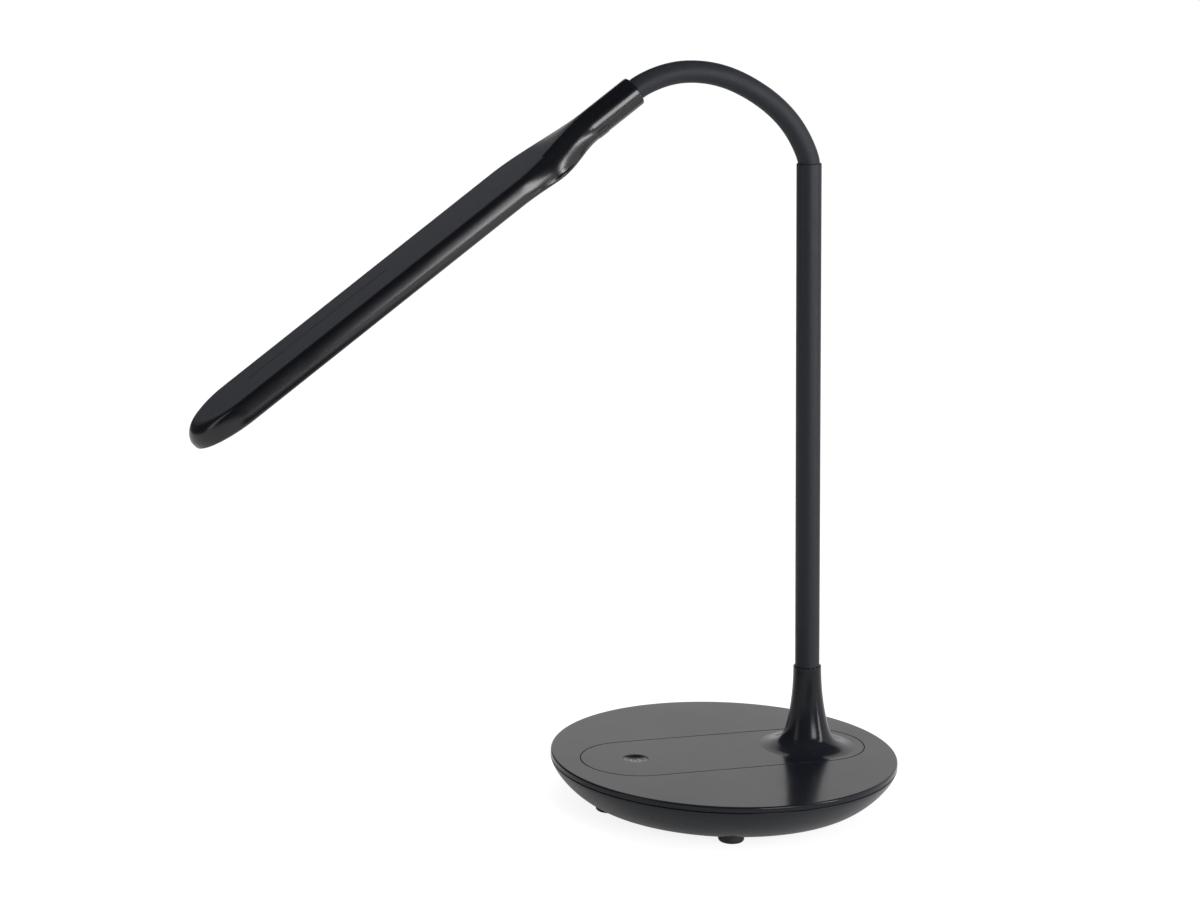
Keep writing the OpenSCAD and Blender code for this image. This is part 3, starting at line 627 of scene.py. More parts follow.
def ring_tree():
    """Copies of a piece round a circle, each turned with it."""
    tree, given = tree_with("Copies round a circle", Piece="Object", Count="Int", Radius="Float",
                            First="Float", Height="Float")
    count = add(tree, "GeometryNodeInputIndex").outputs[0]
    share = add(tree, "ShaderNodeMath", {0: count, 1: given["Count"]}, operation="DIVIDE").outputs[0]
    angle = add(tree, "ShaderNodeMath", {0: share, 1: math.tau, 2: given["First"]},
                operation="MULTIPLY_ADD").outputs[0]
    across = []
    for way in ("COSINE", "SINE"):
        part = add(tree, "ShaderNodeMath", {0: angle}, operation=way).outputs[0]
        across.append(add(tree, "ShaderNodeMath", {0: part, 1: given["Radius"]}, operation="MULTIPLY"))
    spot = add(tree, "ShaderNodeCombineXYZ", {"X": across[0].outputs[0], "Y": across[1].outputs[0],
                                              "Z": given["Height"]}).outputs[0]
    points = add(tree, "GeometryNodePoints", {"Count": given["Count"], "Position": spot})
    spin = add(tree, "ShaderNodeCombineXYZ", {"Z": angle}).outputs[0]
    return spread_out(tree, given, points.outputs[0], Rotation=spin)


def spots_tree():
    """Copies of a piece on the points of the mesh that carries the tree."""
    tree, given = tree_with("Copies on points", Piece="Object")
    return spread_out(tree, given, given["Geometry"])


def grown(name, make_tree, material, points=(), **values):
    """A plain mesh object from a geometry tree, with its inputs set by their names."""
    if make_tree not in TREES:
        TREES[make_tree] = make_tree()
    tree = TREES[make_tree]
    mesh = bpy.data.meshes.new(name)
    mesh.from_pydata([tuple(p) for p in points], [], [])
    obj = linked(name, mesh)
    mod = obj.modifiers.new("Geometry Nodes", "NODES")
    mod.node_group = tree
    sockets = {s.name: s.identifier for s in tree.interface.items_tree if s.in_out == "INPUT"}
    for key, value in dict(values, Material=material).items():
        mod[sockets[key]] = value
    bpy.context.view_layer.update()
    return bake(obj)


def copies(name, bm, make_tree, material, points=(), **values):
    """Plain mesh of copies of a small shape, grown by a tree; the shape itself is taken away again."""
    source = solid("source", bm)
    obj = grown(name, make_tree, material, points, Piece=source, **values)
    taken(source).free()
    return obj


# -------------------------------------------------------------- the base

def side_curve(outer, inner, top, bottom, steps=36):
    """Profile of the curved side, from the seam down to the underside."""
    points, power = [], 2 / 1.35
    for i in range(steps + 1):
        t = math.pi / 2 * i / steps
        c, s = max(0.0, math.cos(t)) ** power, math.sin(t) ** power
        points.append(Vector((inner + (outer - inner) * c, top - (top - bottom) * s)))
    return points


class LAMP_OT_bowl(bpy.types.Operator):
    """Lower housing: shallow bowl with the inlet's pocket, the feet's seats and the screw holes"""
    bl_idname = "lamp.bowl"
    bl_label = "Lower housing"

    def execute(self, context):
        s = sizes("base")
        r, low, seam = s.diameter / 2, s.foot_gap, s.height - s.rim
        floor, lip = low + s.wall, seam - 0.35
        outside = side_curve(r, s.underside / 2, lip, low)
        inside = side_curve(r - s.wall - 0.3, s.underside / 2 - 1.6, seam, floor)
        edge = rounded([(r, seam - 2), (r, lip, 0.2), (r - 1, lip), (r - 1, seam), (inside[0][0], seam)], 4)
        shell = [(0, low)] + outside[:0:-1] + edge[1:] + inside + [(0, floor)]
        obj = solid("lower_housing", turned(shell, 192))
        # wall behind the power inlet, within the bowl's outside
        full = turned([(0, low + 0.3)] + [(p[0] - 0.5, p[1] + 0.3) for p in reversed(outside)]
                      + [(0, seam - 0.05)], 128)
        wall_x, wide = 70.5, 8
        wall = block(wall_x, 79, -wide, wide, floor - 0.3, seam - 2.6)
        carve(obj, [taken(carve(solid("wall", wall), [full], "INTERSECT"))], "UNION")
        # the inlet's pocket from outside and its box from inside
        z, plug_r, pocket_r, deep = low + INLET_UP, 3.8, 6, 73
        pocket = rounded([(0, -5), (plug_r, -5), (plug_r, 0), (pocket_r, 0, 0.4), (pocket_r, 9), (0, 9)], 4)
        cuts = [turned(pocket, 96, moved(deep, 0, z) @ turn("Y", 90)),
                block(55.5, wall_x + 0.1, -5.15, 5.15, z - 5.3, z + 5.3)]
        head, shank = 3.1, 1.65
        for a in ring_angles(FIRST_FOOT, s.feet):
            steps = [(s.foot / 2 + 0.2, low - 1, low + 1)]
            if a > FIRST_FOOT:
                steps += [(head, low + 1, low + 1.8), (shank, low + 1.8, low + 6)]
            cuts.append(drill(steps, around(a, s.foot_ring / 2), 64))
        head, shank = 4.3, 2.1
        sink = [(0, low - 0.3), (head, low - 0.3), (shank, low + 1.9), (shank, low + 4), (0, low + 4)]
        carve(obj, cuts + [turned(sink, 48, around(a, BALLAST_R)) for a in ring_angles(90, 3)])
        piece(obj, in_base(), "base", surface("moulded ABS"), ["base_bowl"])
        return {"FINISHED"}


class LAMP_OT_cover(bpy.types.Operator):
    """Top cover: flat round top with its rim, let open for the control panel"""
    bl_idname = "lamp.cover"
    bl_label = "Top cover"

    def execute(self, context):
        s, p = sizes("base"), sizes("panel")
        r, top, seam = s.diameter / 2, s.height, s.height - s.rim
        half, width, ledge = (p.length - p.width) / 2, p.width / 2 + p.gap, top - p.thick
        ring_in, ring_out, ledge_in, web = r - 5.4, r - 3.8, width - 4.5, width + 2
        bm = bmesh.new()
        outside = rounded([(ring_in, seam), (ring_in, seam - 2), (ring_out, seam - 2), (ring_out, seam),
                           (r, seam, 0.3), (r, top, s.edge), (r - 3, top)], 8)
        rim = stack(bm, [ring(x, z, 256) for x, z in outside])
        inside = rounded([(width + 1, top), (width, top, 0.22), (width, ledge), (ledge_in, ledge),
                          (ledge_in, ledge - 2.3), (web, ledge - 2.3), (web, seam)], 5)
        hole = stack(bm, [oval(half, x, z, 64) for x, z in inside])
        flat(bm, rim[-1], hole[0])
        flat(bm, rim[0], hole[-1])
        bore_r, post_r, low, high = 1.5, 3.7, 12, seam + 0.3
        gather(bm, [turned([(bore_r, low), (post_r, low), (post_r, high), (bore_r, high)], 48,
                           around(a, s.foot_ring / 2)) for a in ring_angles(FIRST_FOOT, s.feet)[1:]])
        piece(solid("top_cover", bm), in_base(), "base", surface("polished ABS"), ["base_cover"])
        return {"FINISHED"}


def collar_radius(s, h):
    """Radius of the collar at height h, with a soft run-out where it meets the panel."""
    f = 1 - max(0.0, h) / s.collar
    neck, flare, run_out = 6.9, 6.6, 1.4
    r = neck + flare * f ** 2.2 + (s.collar_foot - 13.5) * f ** 20
    return r + run_out * (1 - math.sqrt(min(1.0, h / 0.5)))


class LAMP_OT_panel(bpy.types.Operator):
    """Control panel with its trumpet-shaped collar and the seat of the touch mark"""
    bl_idname = "lamp.panel"
    bl_label = "Control panel"

    def execute(self, context):
        s, post, top = sizes("panel"), sizes("post"), sizes("base").height
        low, half, width = top - s.thick, (s.length - s.width) / 2, s.width / 2
        bore_r = post.diameter / 2 + 0.06
        bm = bmesh.new()
        edge = stack(bm, [oval(half, r, z, 64) for r, z in
                          rounded([(width - 4, low), (width, low), (width, top, 0.22), (width - 1, top)], 5)])
        n, lean = 144, math.radians(post.lean)

        def collar_ring(r, h):
            tilt = lean * ease(h / 12)
            x, z = post.x - h * math.sin(lean), top + h * math.cos(lean)
            return [Vector((x + p.x * math.cos(tilt), p.y, z + p.x * math.sin(tilt))) for p in ring(r, 0, n)]

        heights = [0, 0.01, 0.03, 0.07, 0.13, 0.2, 0.3, 0.4, 0.5, 0.7, 1, 1.4, 1.9, 2.5, 3.2, 4, 5, 6.2, 7.6,
                   9.2, 11, 13, 15.5, 18.5, 22, 26, 30, 34, 37, 39]
        outline = [(collar_radius(s, h), h) for h in heights]
        lip = rounded([outline[-1], (collar_radius(s, s.collar), s.collar, 0.42), (bore_r, s.collar, 0.18),
                       (bore_r, 20)], 6)[1:]
        rows = stack(bm, [collar_ring(r, h) for r, h in outline + lip] + [ring(bore_r, low, n, post.x)])
        seat_r = s.touch / 2 + 0.1
        seat = stack(bm, [ring(r, z, 72, -half) for r, z in
                          rounded([(s.touch / 2 + 1, top), (seat_r, top, 0.15), (seat_r, top - 1.6)], 4)])
        flat(bm, seat[-1])
        flat(bm, edge[-1], rows[0], seat[0])
        flat(bm, edge[0], rows[-1])
        obj = solid("touch_panel", bm)
        piece(obj, in_base(), "base", surface("polished ABS"), ["control_panel"])
        return {"FINISHED"}


class LAMP_OT_touch(bpy.types.Operator):
    """Dished touch mark with a plain on-off sign"""
    bl_idname = "lamp.touch"
    bl_label = "Touch mark"

    def execute(self, context):
        s, b = sizes("panel"), sizes("base")
        r, top, low = s.touch / 2, b.height - 0.1, b.height - 1.6
        x0, big = -(s.length - s.width) / 2, s.touch * 1.6
        middle = low + big + 0.5
        dish = [(big * math.sin(a), middle - big * math.cos(a))
                for a in (math.asin((r - 0.35) / big) * i / 14 for i in range(15))]
        profile = dish + rounded([dish[-1], (r - 0.3, top, 0.1), (r, top, 0.2), (r, low)], 4)[1:] + [(0, low)]
        obj = solid("touch_dish", turned(profile, 96, moved(x0)))
        piece(obj, in_base(), "base", surface("gloss ABS"), ["touch_mark"])
        # the sign: a ring open at the back with a bar in its gap, printed in the dish
        bm = bmesh.new()

        def strip(line, half_width=0.22, up=0.02, down=-0.05):
            rows = []
            for i, p in enumerate(line):
                d = (line[min(i + 1, len(line) - 1)] - line[max(i - 1, 0)]).normalized()
                side = Vector((-d.y, d.x)) * half_width
                corners = (p + side, up), (p - side, up), (p - side, down), (p + side, down)
                rows.append([Vector((x0 + q.x, q.y, middle - math.sqrt(big * big - q.length_squared) + lift))
                             for q, lift in corners])
            rows = stack(bm, rows)
            bm.faces.new(rows[0])
            bm.faces.new(rows[-1])

        sign_r, turns = 2.3, [math.radians(125 + 290 * i / 40) for i in range(41)]
        strip([Vector((sign_r * math.cos(t), sign_r * math.sin(t))) for t in turns])
        strip([Vector((0.4 - 0.35 * i, 0)) for i in range(-1, 8)])
        piece(solid("touch_sign", bm), in_base(), "base", surface("printed ink"))
        return {"FINISHED"}


class LAMP_OT_feet(bpy.types.Operator):
    """Rubber feet under the base"""
    bl_idname = "lamp.feet"
    bl_label = "Feet"

    def execute(self, context):
        s = sizes("base")
        r, top, hollow = s.foot / 2, s.foot_gap + 0.9, 0.25
        shape = turned(rounded([(0, hollow), (r - 3, hollow, 0.5), (r - 2.6, 0, 0.3), (r, 0, 1.4), (r, top),
                                (0, top)], 6), 64)
        rubber = surface("nitrile rubber")
        obj = copies("feet_rubber", shape, ring_tree, rubber, Count=s.feet, Radius=s.foot_ring / 2,
                     First=math.radians(FIRST_FOOT))
        piece(obj, in_base(), "base", rubber, ["feet"])
        return {"FINISHED"}


def cross_screw(head_r, head_h, r, depth):
    """Screw with a domed head, a cross recess and a plain shank; its head's underside is at 0."""
    profile = rounded([(0, -head_h), (head_r * 0.45, -head_h), (head_r, -head_h * 0.55, 0.2), (head_r, 0),
                       (r, 0), (r, depth), (0, depth)], 4)
    obj = solid("screw", turned(profile, 40))
    arm, wide = head_r * 0.52, head_r * 0.15
    for a in (0, 90):
        carve(obj, [prism([(-arm, -wide), (arm, -wide), (arm, wide), (-arm, wide)], -head_h - 1,
                          -head_h * 0.35, turn("Z", a))])
    return taken(obj)


def frame_screws(s):
    """Places of the lower frame's screws."""
    return [(10.5 - s.length, 0), (-54, 12.5), (-54, -12.5)]


class LAMP_OT_screws(bpy.types.Operator):
    """Screws that show on the underside of the base and of the light bar"""
    bl_idname = "lamp.screws"
    bl_label = "Screws"

    def execute(self, context):
        steel = surface("zinc-plated steel")
        obj = copies("ballast_screw_heads", cross_screw(3.85, 1.9, 2.0, 4.5), ring_tree, steel, Count=3,
                     Radius=float(BALLAST_R), First=math.pi / 2, Height=sizes("base").foot_gap + 1.95)
        piece(obj, in_base(), "base", steel, ["ballast_screws"])
        spots = [(x, y, FRAME_Z) for x, y in frame_screws(sizes("bar"))]
        obj = copies("bezel_screw_heads", cross_screw(2.05, 0.55, 1.1, 6), spots_tree, steel, spots)
        piece(obj, in_bar(), "bar", steel, ["bezel_screws"])
        obj = copies("clamp_screw_head", cross_screw(2.0, 1.0, 1.0, 11), spots_tree, steel,
                     [(CLAMP_X, 0, CLAMP_Z)])
        piece(obj, in_bar(), "bar", steel, ["clamp_screw"])
        return {"FINISHED"}


# ------------------------------------------------------- the post and neck

class LAMP_OT_post(bpy.types.Operator):
    """Leaning steel post with a rounded upper edge"""
    bl_idname = "lamp.post"
    bl_label = "Post"

    def execute(self, context):
        s = sizes("post")
        r, low = s.diameter / 2, -14.8
        bore_r = r - s.wall
        profile = rounded([(bore_r, low), (r, low), (r, s.length, 0.5), (bore_r, s.length, 0.15),
                           (bore_r, low)])
        profile = profile[:2] + [(r, z) for z in range(0, 281, 40)] + profile[2:-1]
        obj = solid("steel_post", turned(profile, 128))
        piece(obj, in_post(), "base", surface("painted steel"), ["post_tube"])
        return {"FINISHED"}


class LAMP_OT_neck(bpy.types.Operator):
    """Sleeve of the flexible neck: one bending stretch over each pivot, and the ends in post and mouth"""
    bl_idname = "lamp.neck"
    bl_label = "Flexible neck"

    def execute(self, context):
        s, points, sleeve = sizes("post"), softened(pivots()), surface("silicone sleeve")
        lean, pitch = math.radians(90 + s.lean), math.radians(sizes("bar").pitch)
        up = Vector((math.cos(lean), 0, math.sin(lean)))
        out = -Vector((math.cos(pitch), 0, math.sin(pitch)))
        joins = [(a + b) / 2 for a, b in zip(points, points[1:])]
        joins = [points[0] - 2.4 * up, *joins, points[-1] + 2.4 * out]

        def stretch(name, start, corner, end, steps):
            return grown(name, sleeve_tree, sleeve, Start=start, Corner=corner, End=end, Radius=s.neck / 2,
                         Steps=steps, Sides=64)

        foot, end = points[0] - 23.4 * up, points[-1] + 17.9 * out
        obj = stretch("sleeve_foot", foot, (foot + joins[0]) / 2, joins[0], 4)
        piece(obj, in_base(), "base", sleeve, ["neck_root"])
        for k, corner in enumerate(points):
            a, b = joins[k], joins[k + 1]
            obj = stretch("sleeve_%02d" % (k + 1), a, corner, b, 12)
            piece(obj, in_base(), None, sleeve,
                  ["neck_link_%02d" % (k + 1)] if k < 11 else ["neck_tip"])
            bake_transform(obj)
        obj = stretch("sleeve_end", joins[-1], (joins[-1] + end) / 2, end, 4)
        piece(obj, in_base(), "bar", sleeve)
        return {"FINISHED"}


# ------------------------------------------------------------ the light bar

def roundness(x, turn_at):
    """1 on the round neck and 0 on the wide part, at distance x from the mouth, for part of the section."""
    start, span = turn_at
    return 1 - ease((x - start) / span)


def smooth_line(knots, steps=6):
    """Smooth line through a row of points."""
    ends = [knots[0] * 2 - knots[1], *knots, knots[-1]]
    line = []
    for p0, p1, p2, p3 in zip(ends, ends[1:], ends[2:], ends[3:]):
        for t in (k / steps for k in range(steps)):
            line.append(0.5 * ((2 * p1) + (p2 - p0) * t + (2 * p0 - 5 * p1 + 4 * p2 - p3) * t * t
                               + (3 * p1 - p0 - 3 * p2 + p3) * t ** 3))
    return line + [knots[-1]]


def bar_section(s):
    """Half section of the light bar from the middle of the top to that of the bottom. Each sample holds its
    place on the wide part, its angle on the round neck, and how far down the side it is, from 0 to 1."""
    w = s.width / 2
    knots = [Vector(p) for p in ((s.top / 2, TOP_Z), (w - 1, 4.9), (w, 0.5), (w - 0.2, SEAM_Z),
                                 (w - 0.7, -3.9), (w - 1.9, -4.7))]
    line, first, last = smooth_line(knots), knots[0], knots[-1]
    # the crease at the top and the edge at the bottom turned into small arcs
    crease = rounded([(first.x - 3, first.y), (first.x, first.y, 0.4), tuple(line[3])], 6)[1:-1]
    foot = rounded([tuple(line[-3]), (last.x, last.y, 0.5), (last.x - 3, last.y)], 5)[1:-1]
    side = [Vector(q) for q in crease + line[3:-3] + foot]
    gone = [0.0]
    for a, b in zip(side, side[1:]):
        gone.append(gone[-1] + (b - a).length)
    places = [j / 30 for j in range(3, 28)]
    n, m = len(crease), len(side) - len(foot)
    places = ([places[0] * gone[i] / gone[n] for i in range(n)] + places
              + [mix(places[-1], 1, (gone[i] - gone[m - 1]) / (gone[-1] - gone[m - 1]))
                 for i in range(m, len(side))])
    # the top with its slight crown and the flat bottom, and the same samples on the round neck
    across, crown, corner = [i / 10 for i in range(10)] + [0.97], 0.2, CREASE_ANGLE
    top = [(Vector((f * side[0].x, side[0].y + crown * (1 - f * f))), corner * f, 0.0) for f in across]
    wall = [(q, corner + (180 - 2 * corner) * g / gone[-1], f) for q, g, f in zip(side, gone, places)]
    bottom = [(Vector((f * side[-1].x, side[-1].y)), 180 - corner * f, 1.0) for f in reversed(across)]
    return top + wall + bottom


def bar_rings(s, stations):
    """Closed rings of the light bar from the mouth to the tip; the stations hold the round neck's radius."""
    half = bar_section(s)

    def whole(row):
        return row + [Vector((p.x, -p.y, p.z)) for p in reversed(row[1:-1])]

    rings = []
    for x, radius in stations:
        # towards the mouth the top narrows first, and the bottom drops to the round neck before its sides do
        top, side, low = (roundness(x, turn_at) for turn_at in (TOP_TURN, SIDE_TURN, LOW_TURN))
        row = []
        for q, angle, place in half:
            a = math.radians(angle)
            row.append(Vector((-x, mix(q.x, radius * math.sin(a), mix(top, side, place)),
                               mix(q.y, radius * math.cos(a), mix(top, low, place)))))
        rings.append(whole(row))
    # the rounded tip, whose nose stands out beyond the flat top
    start, w, nose, steps = s.length - s.tip, s.width / 2, 1.5, 30
    for i in range(1, steps + 1):
        t = math.radians(90 * (i / steps) ** 0.85)
        row = [Vector((-start - (s.tip + nose - set_back(q.y, w - min(w, edge_of(half, k)))) * math.sin(t),
                       q.x * max(0.0, math.cos(t)), q.y)) for k, (q, angle, place) in enumerate(half)]
        rings.append(whole(row))
    return rings


def set_back(z, narrower):
    """How far the rounded tip stays back at height z, where the section is so much narrower than the bar."""
    if z > 0:
        h = min(1.0, (z + 1) / (TOP_Z + 1))
        return 9 * (1 - math.sqrt(1 - h * h))
    return 0.9 * narrower + 0.6 * narrower ** 2


def edge_of(half, k):
    """Half width that a sample of the section belongs to: the crease's on the flat top, its own below."""
    across = 11
    return half[min(max(k, across), len(half) - across - 1)][0].x


def neck_stations(lip=False):
    """Distances from the mouth with the radius of the round neck there; the lower frame starts at a lip."""
    if lip:
        xs = [(21.2, 7.28), (21.25, 7.36), (21.35, 7.43), (21.5, 7.47), (21.7, 7.49), (22.2, LIP_R),
              (24, LIP_R), (25.8, 7.47), (26.3, 7.44), (26.6, 7.4), (26.8, 7.35), (26.95, 7.3), (27.05, 7.24)]
    else:
        edge = 0.9
        xs = [(edge - edge * math.cos(a), MOUTH_R - edge + edge * math.sin(a))
              for a in (math.pi / 2 * i / 6 for i in range(7))]
        xs += [(3, MOUTH_R), (8, MOUTH_R), (14, MOUTH_R), (20, MOUTH_R), (24, MOUTH_R), (26, 7.22)]
    xs += [(27.5 + 0.5 * i, 7.2) for i in range(4)] + [(30 + 1.5 * i, NECK_R) for i in range(34)]
    return xs + [(81, NECK_R), (84, NECK_R)] + [(90 + 14.2 * i, NECK_R) for i in range(11)]


def bar_half(name, s, stations, upper):
    """Upper or lower half of the light bar, cut level at the seam with a fine bevel along the cut."""
    bm = bmesh.new()
    flat(bm, stack(bm, bar_rings(s, stations))[0])
    bmesh.ops.remove_doubles(bm, verts=bm.verts, dist=0.002)
    bmesh.ops.dissolve_degenerate(bm, edges=bm.edges, dist=0.0005)
    bmesh.ops.bisect_plane(bm, geom=bm.verts[:] + bm.edges[:] + bm.faces[:], dist=0.0005,
                           plane_co=(0, 0, SEAM_Z), plane_no=(0, 0, -1 if upper else 1), clear_outer=True)
    bmesh.ops.triangle_fill(bm, use_beauty=True, edges=[e for e in bm.edges if e.is_boundary])
    bmesh.ops.recalc_face_normals(bm, faces=bm.faces)
    rim = [e for e in bm.edges if len(e.link_faces) == 2 and e.calc_face_angle(0) > 0.5
           and all(abs(v.co.z - SEAM_Z) < 0.001 for v in e.verts)]
    bmesh.ops.bevel(bm, geom=rim, offset=0.12, offset_type="OFFSET", segments=2, profile=0.5, affect="EDGES",
                    clamp_overlap=True)
    return solid(name, bm)


def opening(s):
    """Half length, radius and middle of the round-ended opening for the diffuser."""
    x0, x1, r = 64, s.length - 15.5, (s.width - 2 * s.frame) / 2
    return (x1 - x0) / 2 - r, r, -(x0 + x1) / 2


def bore():
    return drill([(BORE_R, -1, 14), (LEAD_R, 14, 67)], turn("Y", -90), 96)


def add_finish_mask(obj):
    """Point attribute that is 1 on the matt flat top and fades out towards the round neck."""
    values, round_z = [], NECK_R * math.cos(math.radians(CREASE_ANGLE))
    for v in obj.data.vertices:
        x, z = -v.co.x, v.co.z
        on_top = z > mix(TOP_Z, round_z, roundness(x, TOP_TURN)) - 0.05 and z > 5.5
        values.append(ease((x - 40) / 16) if on_top else 0.0)
    layer = obj.data.attributes.new("matt_top", "FLOAT", "POINT")
    layer.data.foreach_set("value", values)


class LAMP_OT_bar(bpy.types.Operator):
    """Upper shell of the light bar: matt flat top with its groove, glossy sides, shoulder and round neck"""
    bl_idname = "lamp.bar"
    bl_label = "Light bar"

    def execute(self, context):
        s = sizes("bar")
        obj = bar_half("bar_upper_shell", s, neck_stations(), True)
        wall, end_wall, from_x, full_x = 2.6, 3.4, -66, -78
        w, tip = s.width / 2 - wall, s.length - end_wall
        far = [(-(tip - s.tip) - s.tip * math.cos(math.radians(t)), -w * math.sin(math.radians(t)))
               for t in range(90, -91, -6)]
        outline = [(from_x, wall - w), (full_x, -w)] + far + [(full_x, w), (from_x, w - wall)]
        hollow = prism(outline, -3.8, 4.2)
        near = [(-60, 2 - w), (-62, 0.02 - w), (-79, 0.02 - w)]
        seat = prism(near + [(x, -y) for x, y in reversed(near)], -3.9, -1.2)
        groove = closed([oval(s.groove / 2 - 0.4, r, z, 12, -s.groove_from - s.groove / 2)
                         for r, z in ((0.3, 6.1), (0.4, 6.2), (0.4, 6.7), (0.5, 6.81), (0.55, 7.2))])
        carve(obj, [bore(), groove, hollow, seat])
        add_finish_mask(obj)
        piece(obj, in_bar(), "bar", surface("bar ABS"), ["bar_shell"])
        return {"FINISHED"}


class LAMP_OT_bezel(bpy.types.Operator):
    """Lower frame of the light bar and the half cover under its round neck"""
    bl_idname = "lamp.bezel"
    bl_label = "Lower frame"

    def execute(self, context):
        s, black, hole_r = sizes("bar"), surface("gloss ABS"), 1.25
        half, r, x = opening(s)
        obj = bar_half("bar_lower_frame", s, neck_stations(lip=True), False)
        carve(obj, [bore(), prism(oval(half, r, 0, 48, x), -7, 1)]
              + [drill([(2.2, -8, FRAME_Z), (hole_r, FRAME_Z, 0)], moved(x, y)) for x, y in frame_screws(s)])
        piece(obj, in_bar(), "bar", black, ["bar_bezel"])
        end = 21
        profile = rounded([(0, 0), (MOUTH_R, 0, 0.9), (MOUTH_R, end, 0.15), (0, end)])
        obj = solid("mouth_cover", turned(profile, 128, turn("Y", -90)))
        gap, head_r = 0.05, 2.15
        carve(obj, [block(-30, 5, -20, 20, -20, SEAM_Z - gap)], "INTERSECT")
        carve(obj, [bore(), drill([(head_r, -12, CLAMP_Z), (hole_r, CLAMP_Z, 0)], moved(CLAMP_X))])
        piece(obj, in_bar(), "bar", black, ["clamp_cover"])
        return {"FINISHED"}


class LAMP_OT_diffuser(bpy.types.Operator):
    """Opal strip with its flange"""
    bl_idname = "lamp.diffuser"
    bl_label = "Diffuser"

    def execute(self, context):
        half, r, x = opening(sizes("bar"))
        inner, strip, flange, face, step, back = r - 2, r - 0.15, r + 0.8, -4.4, -2.75, -1.7
        obj = solid("opal_strip", closed([oval(half, w, z, 48, x) for w, z in rounded(
            [(inner, face), (strip, face, 0.2), (strip, step), (flange, step), (flange, back), (inner, back)],
            4)]))
        piece(obj, in_bar(), "bar", surface("opal polycarbonate"), ["diffuser"])
        return {"FINISHED"}


# --------------------------------------------------------- inside and stage

INSIDE = {
    "green solder mask": ["touch_board", "control_board"],
    "white solder mask": ["led_board"],
    "LED phosphor": ["leds"],
    "moulded nylon": ["board_parts", "power_jack"],
    "PVC lead": ["jack_lead", "lamp_lead", "bar_lead"],
    "turned brass": ["board_standoffs"],
    "nickel plate": ["jack_pin"],
    "zinc-plated steel": ["board_screws", "socket_screws", "set_screw", "cover_screws", "panel_screws",
                          "spreader_screws"],
    "cast iron": ["ballast_plate"],
    "machined aluminium": ["post_socket"],
    "rolled aluminium": ["heat_spreader"],
}


class LAMP_OT_inside(bpy.types.Operator):
    """Finishes of the parts inside the base and the light bar, which keep their own shapes"""
    bl_idname = "lamp.inside"
    bl_label = "Inner parts"

    def execute(self, context):
        for key, nodes in INSIDE.items():
            for name in nodes:
                mesh = frame["nodes"][name].data
                mesh.materials.clear()
                mesh.materials.append(surface(key))
        return {"FINISHED"}


def seen_directly(tree):
    """1 for a ray that comes from the camera or off a mirror or through glass, and 0 for a soft one."""
    path = add(tree, "ShaderNodeLightPath").outputs
    first = add(tree, "ShaderNodeMath", {0: path["Is Camera Ray"], 1: path["Is Glossy Ray"]},
                operation="MAXIMUM").outputs[0]
    return add(tree, "ShaderNodeMath", {0: first, 1: path["Is Transmission Ray"]},
               operation="MAXIMUM").outputs[0]


def level(x0, x1, y0, y1, z=0.002):
    """Corners of a level sheet."""
    return [(x0, y0, z), (x1, y0, z), (x1, y1, z), (x0, y1, z)]


def upright(x0, y0, x1, y1, high=2.4):
    """Corners of an upright sheet over a line on the floor."""
    return [(x0, y0, 0), (x1, y1, 0), (x1, y1, high), (x0, y0, high)]


# painted dark reflections: dark sheets round the table that show in gloss alone, cast no shadow, block no
# light and give the gloss its depth; grey and corners in metres
PAINTED_DARK_REFLECTIONS = {
    "studio_cloth": (0.02, level(-3, 3, -1.9, -1.6)),
    "studio_curtain": (0.15, upright(-3, -1.9, 3, -1.9)),
    "studio_side": (0.1, upright(-1.5, -1.9, -1.5, 2.6)),
    "studio_back": (0.1, upright(-1.5, 2.6, -0.1, 2.6)),
    "studio_card": (0.02, level(-0.2, 0.15, -0.62, -0.28)),
    "studio_ceiling": (0.1, level(-1.9, 1.9, -1.9, 1.9, 1.5)),
}


def sheet(name, material, corners):
    """Flat sheet of the studio."""
    mesh = bpy.data.meshes.new(name)
    mesh.from_pydata(corners, [], [range(len(corners))])
    mesh.materials.append(material)
    obj = linked(name, mesh)
    return obj


def softbox(name, direction, distance, height, size, power):
    """Softbox that looks at the lamp, hidden from the camera."""
    lamp = bpy.data.lights.new(name, "AREA")
    lamp.shape, lamp.size, lamp.size_y, lamp.energy = "RECTANGLE", size[0], size[1], power
    obj = linked(name, lamp)
    obj.location = place = Vector(direction).normalized() * distance + Vector((0, 0, height))
    aim = Vector((0, 0, height * 0.75)) - place
    obj.rotation_euler = aim.to_track_quat("-Z", "Y").to_euler()
    obj.visible_camera = False
    return obj


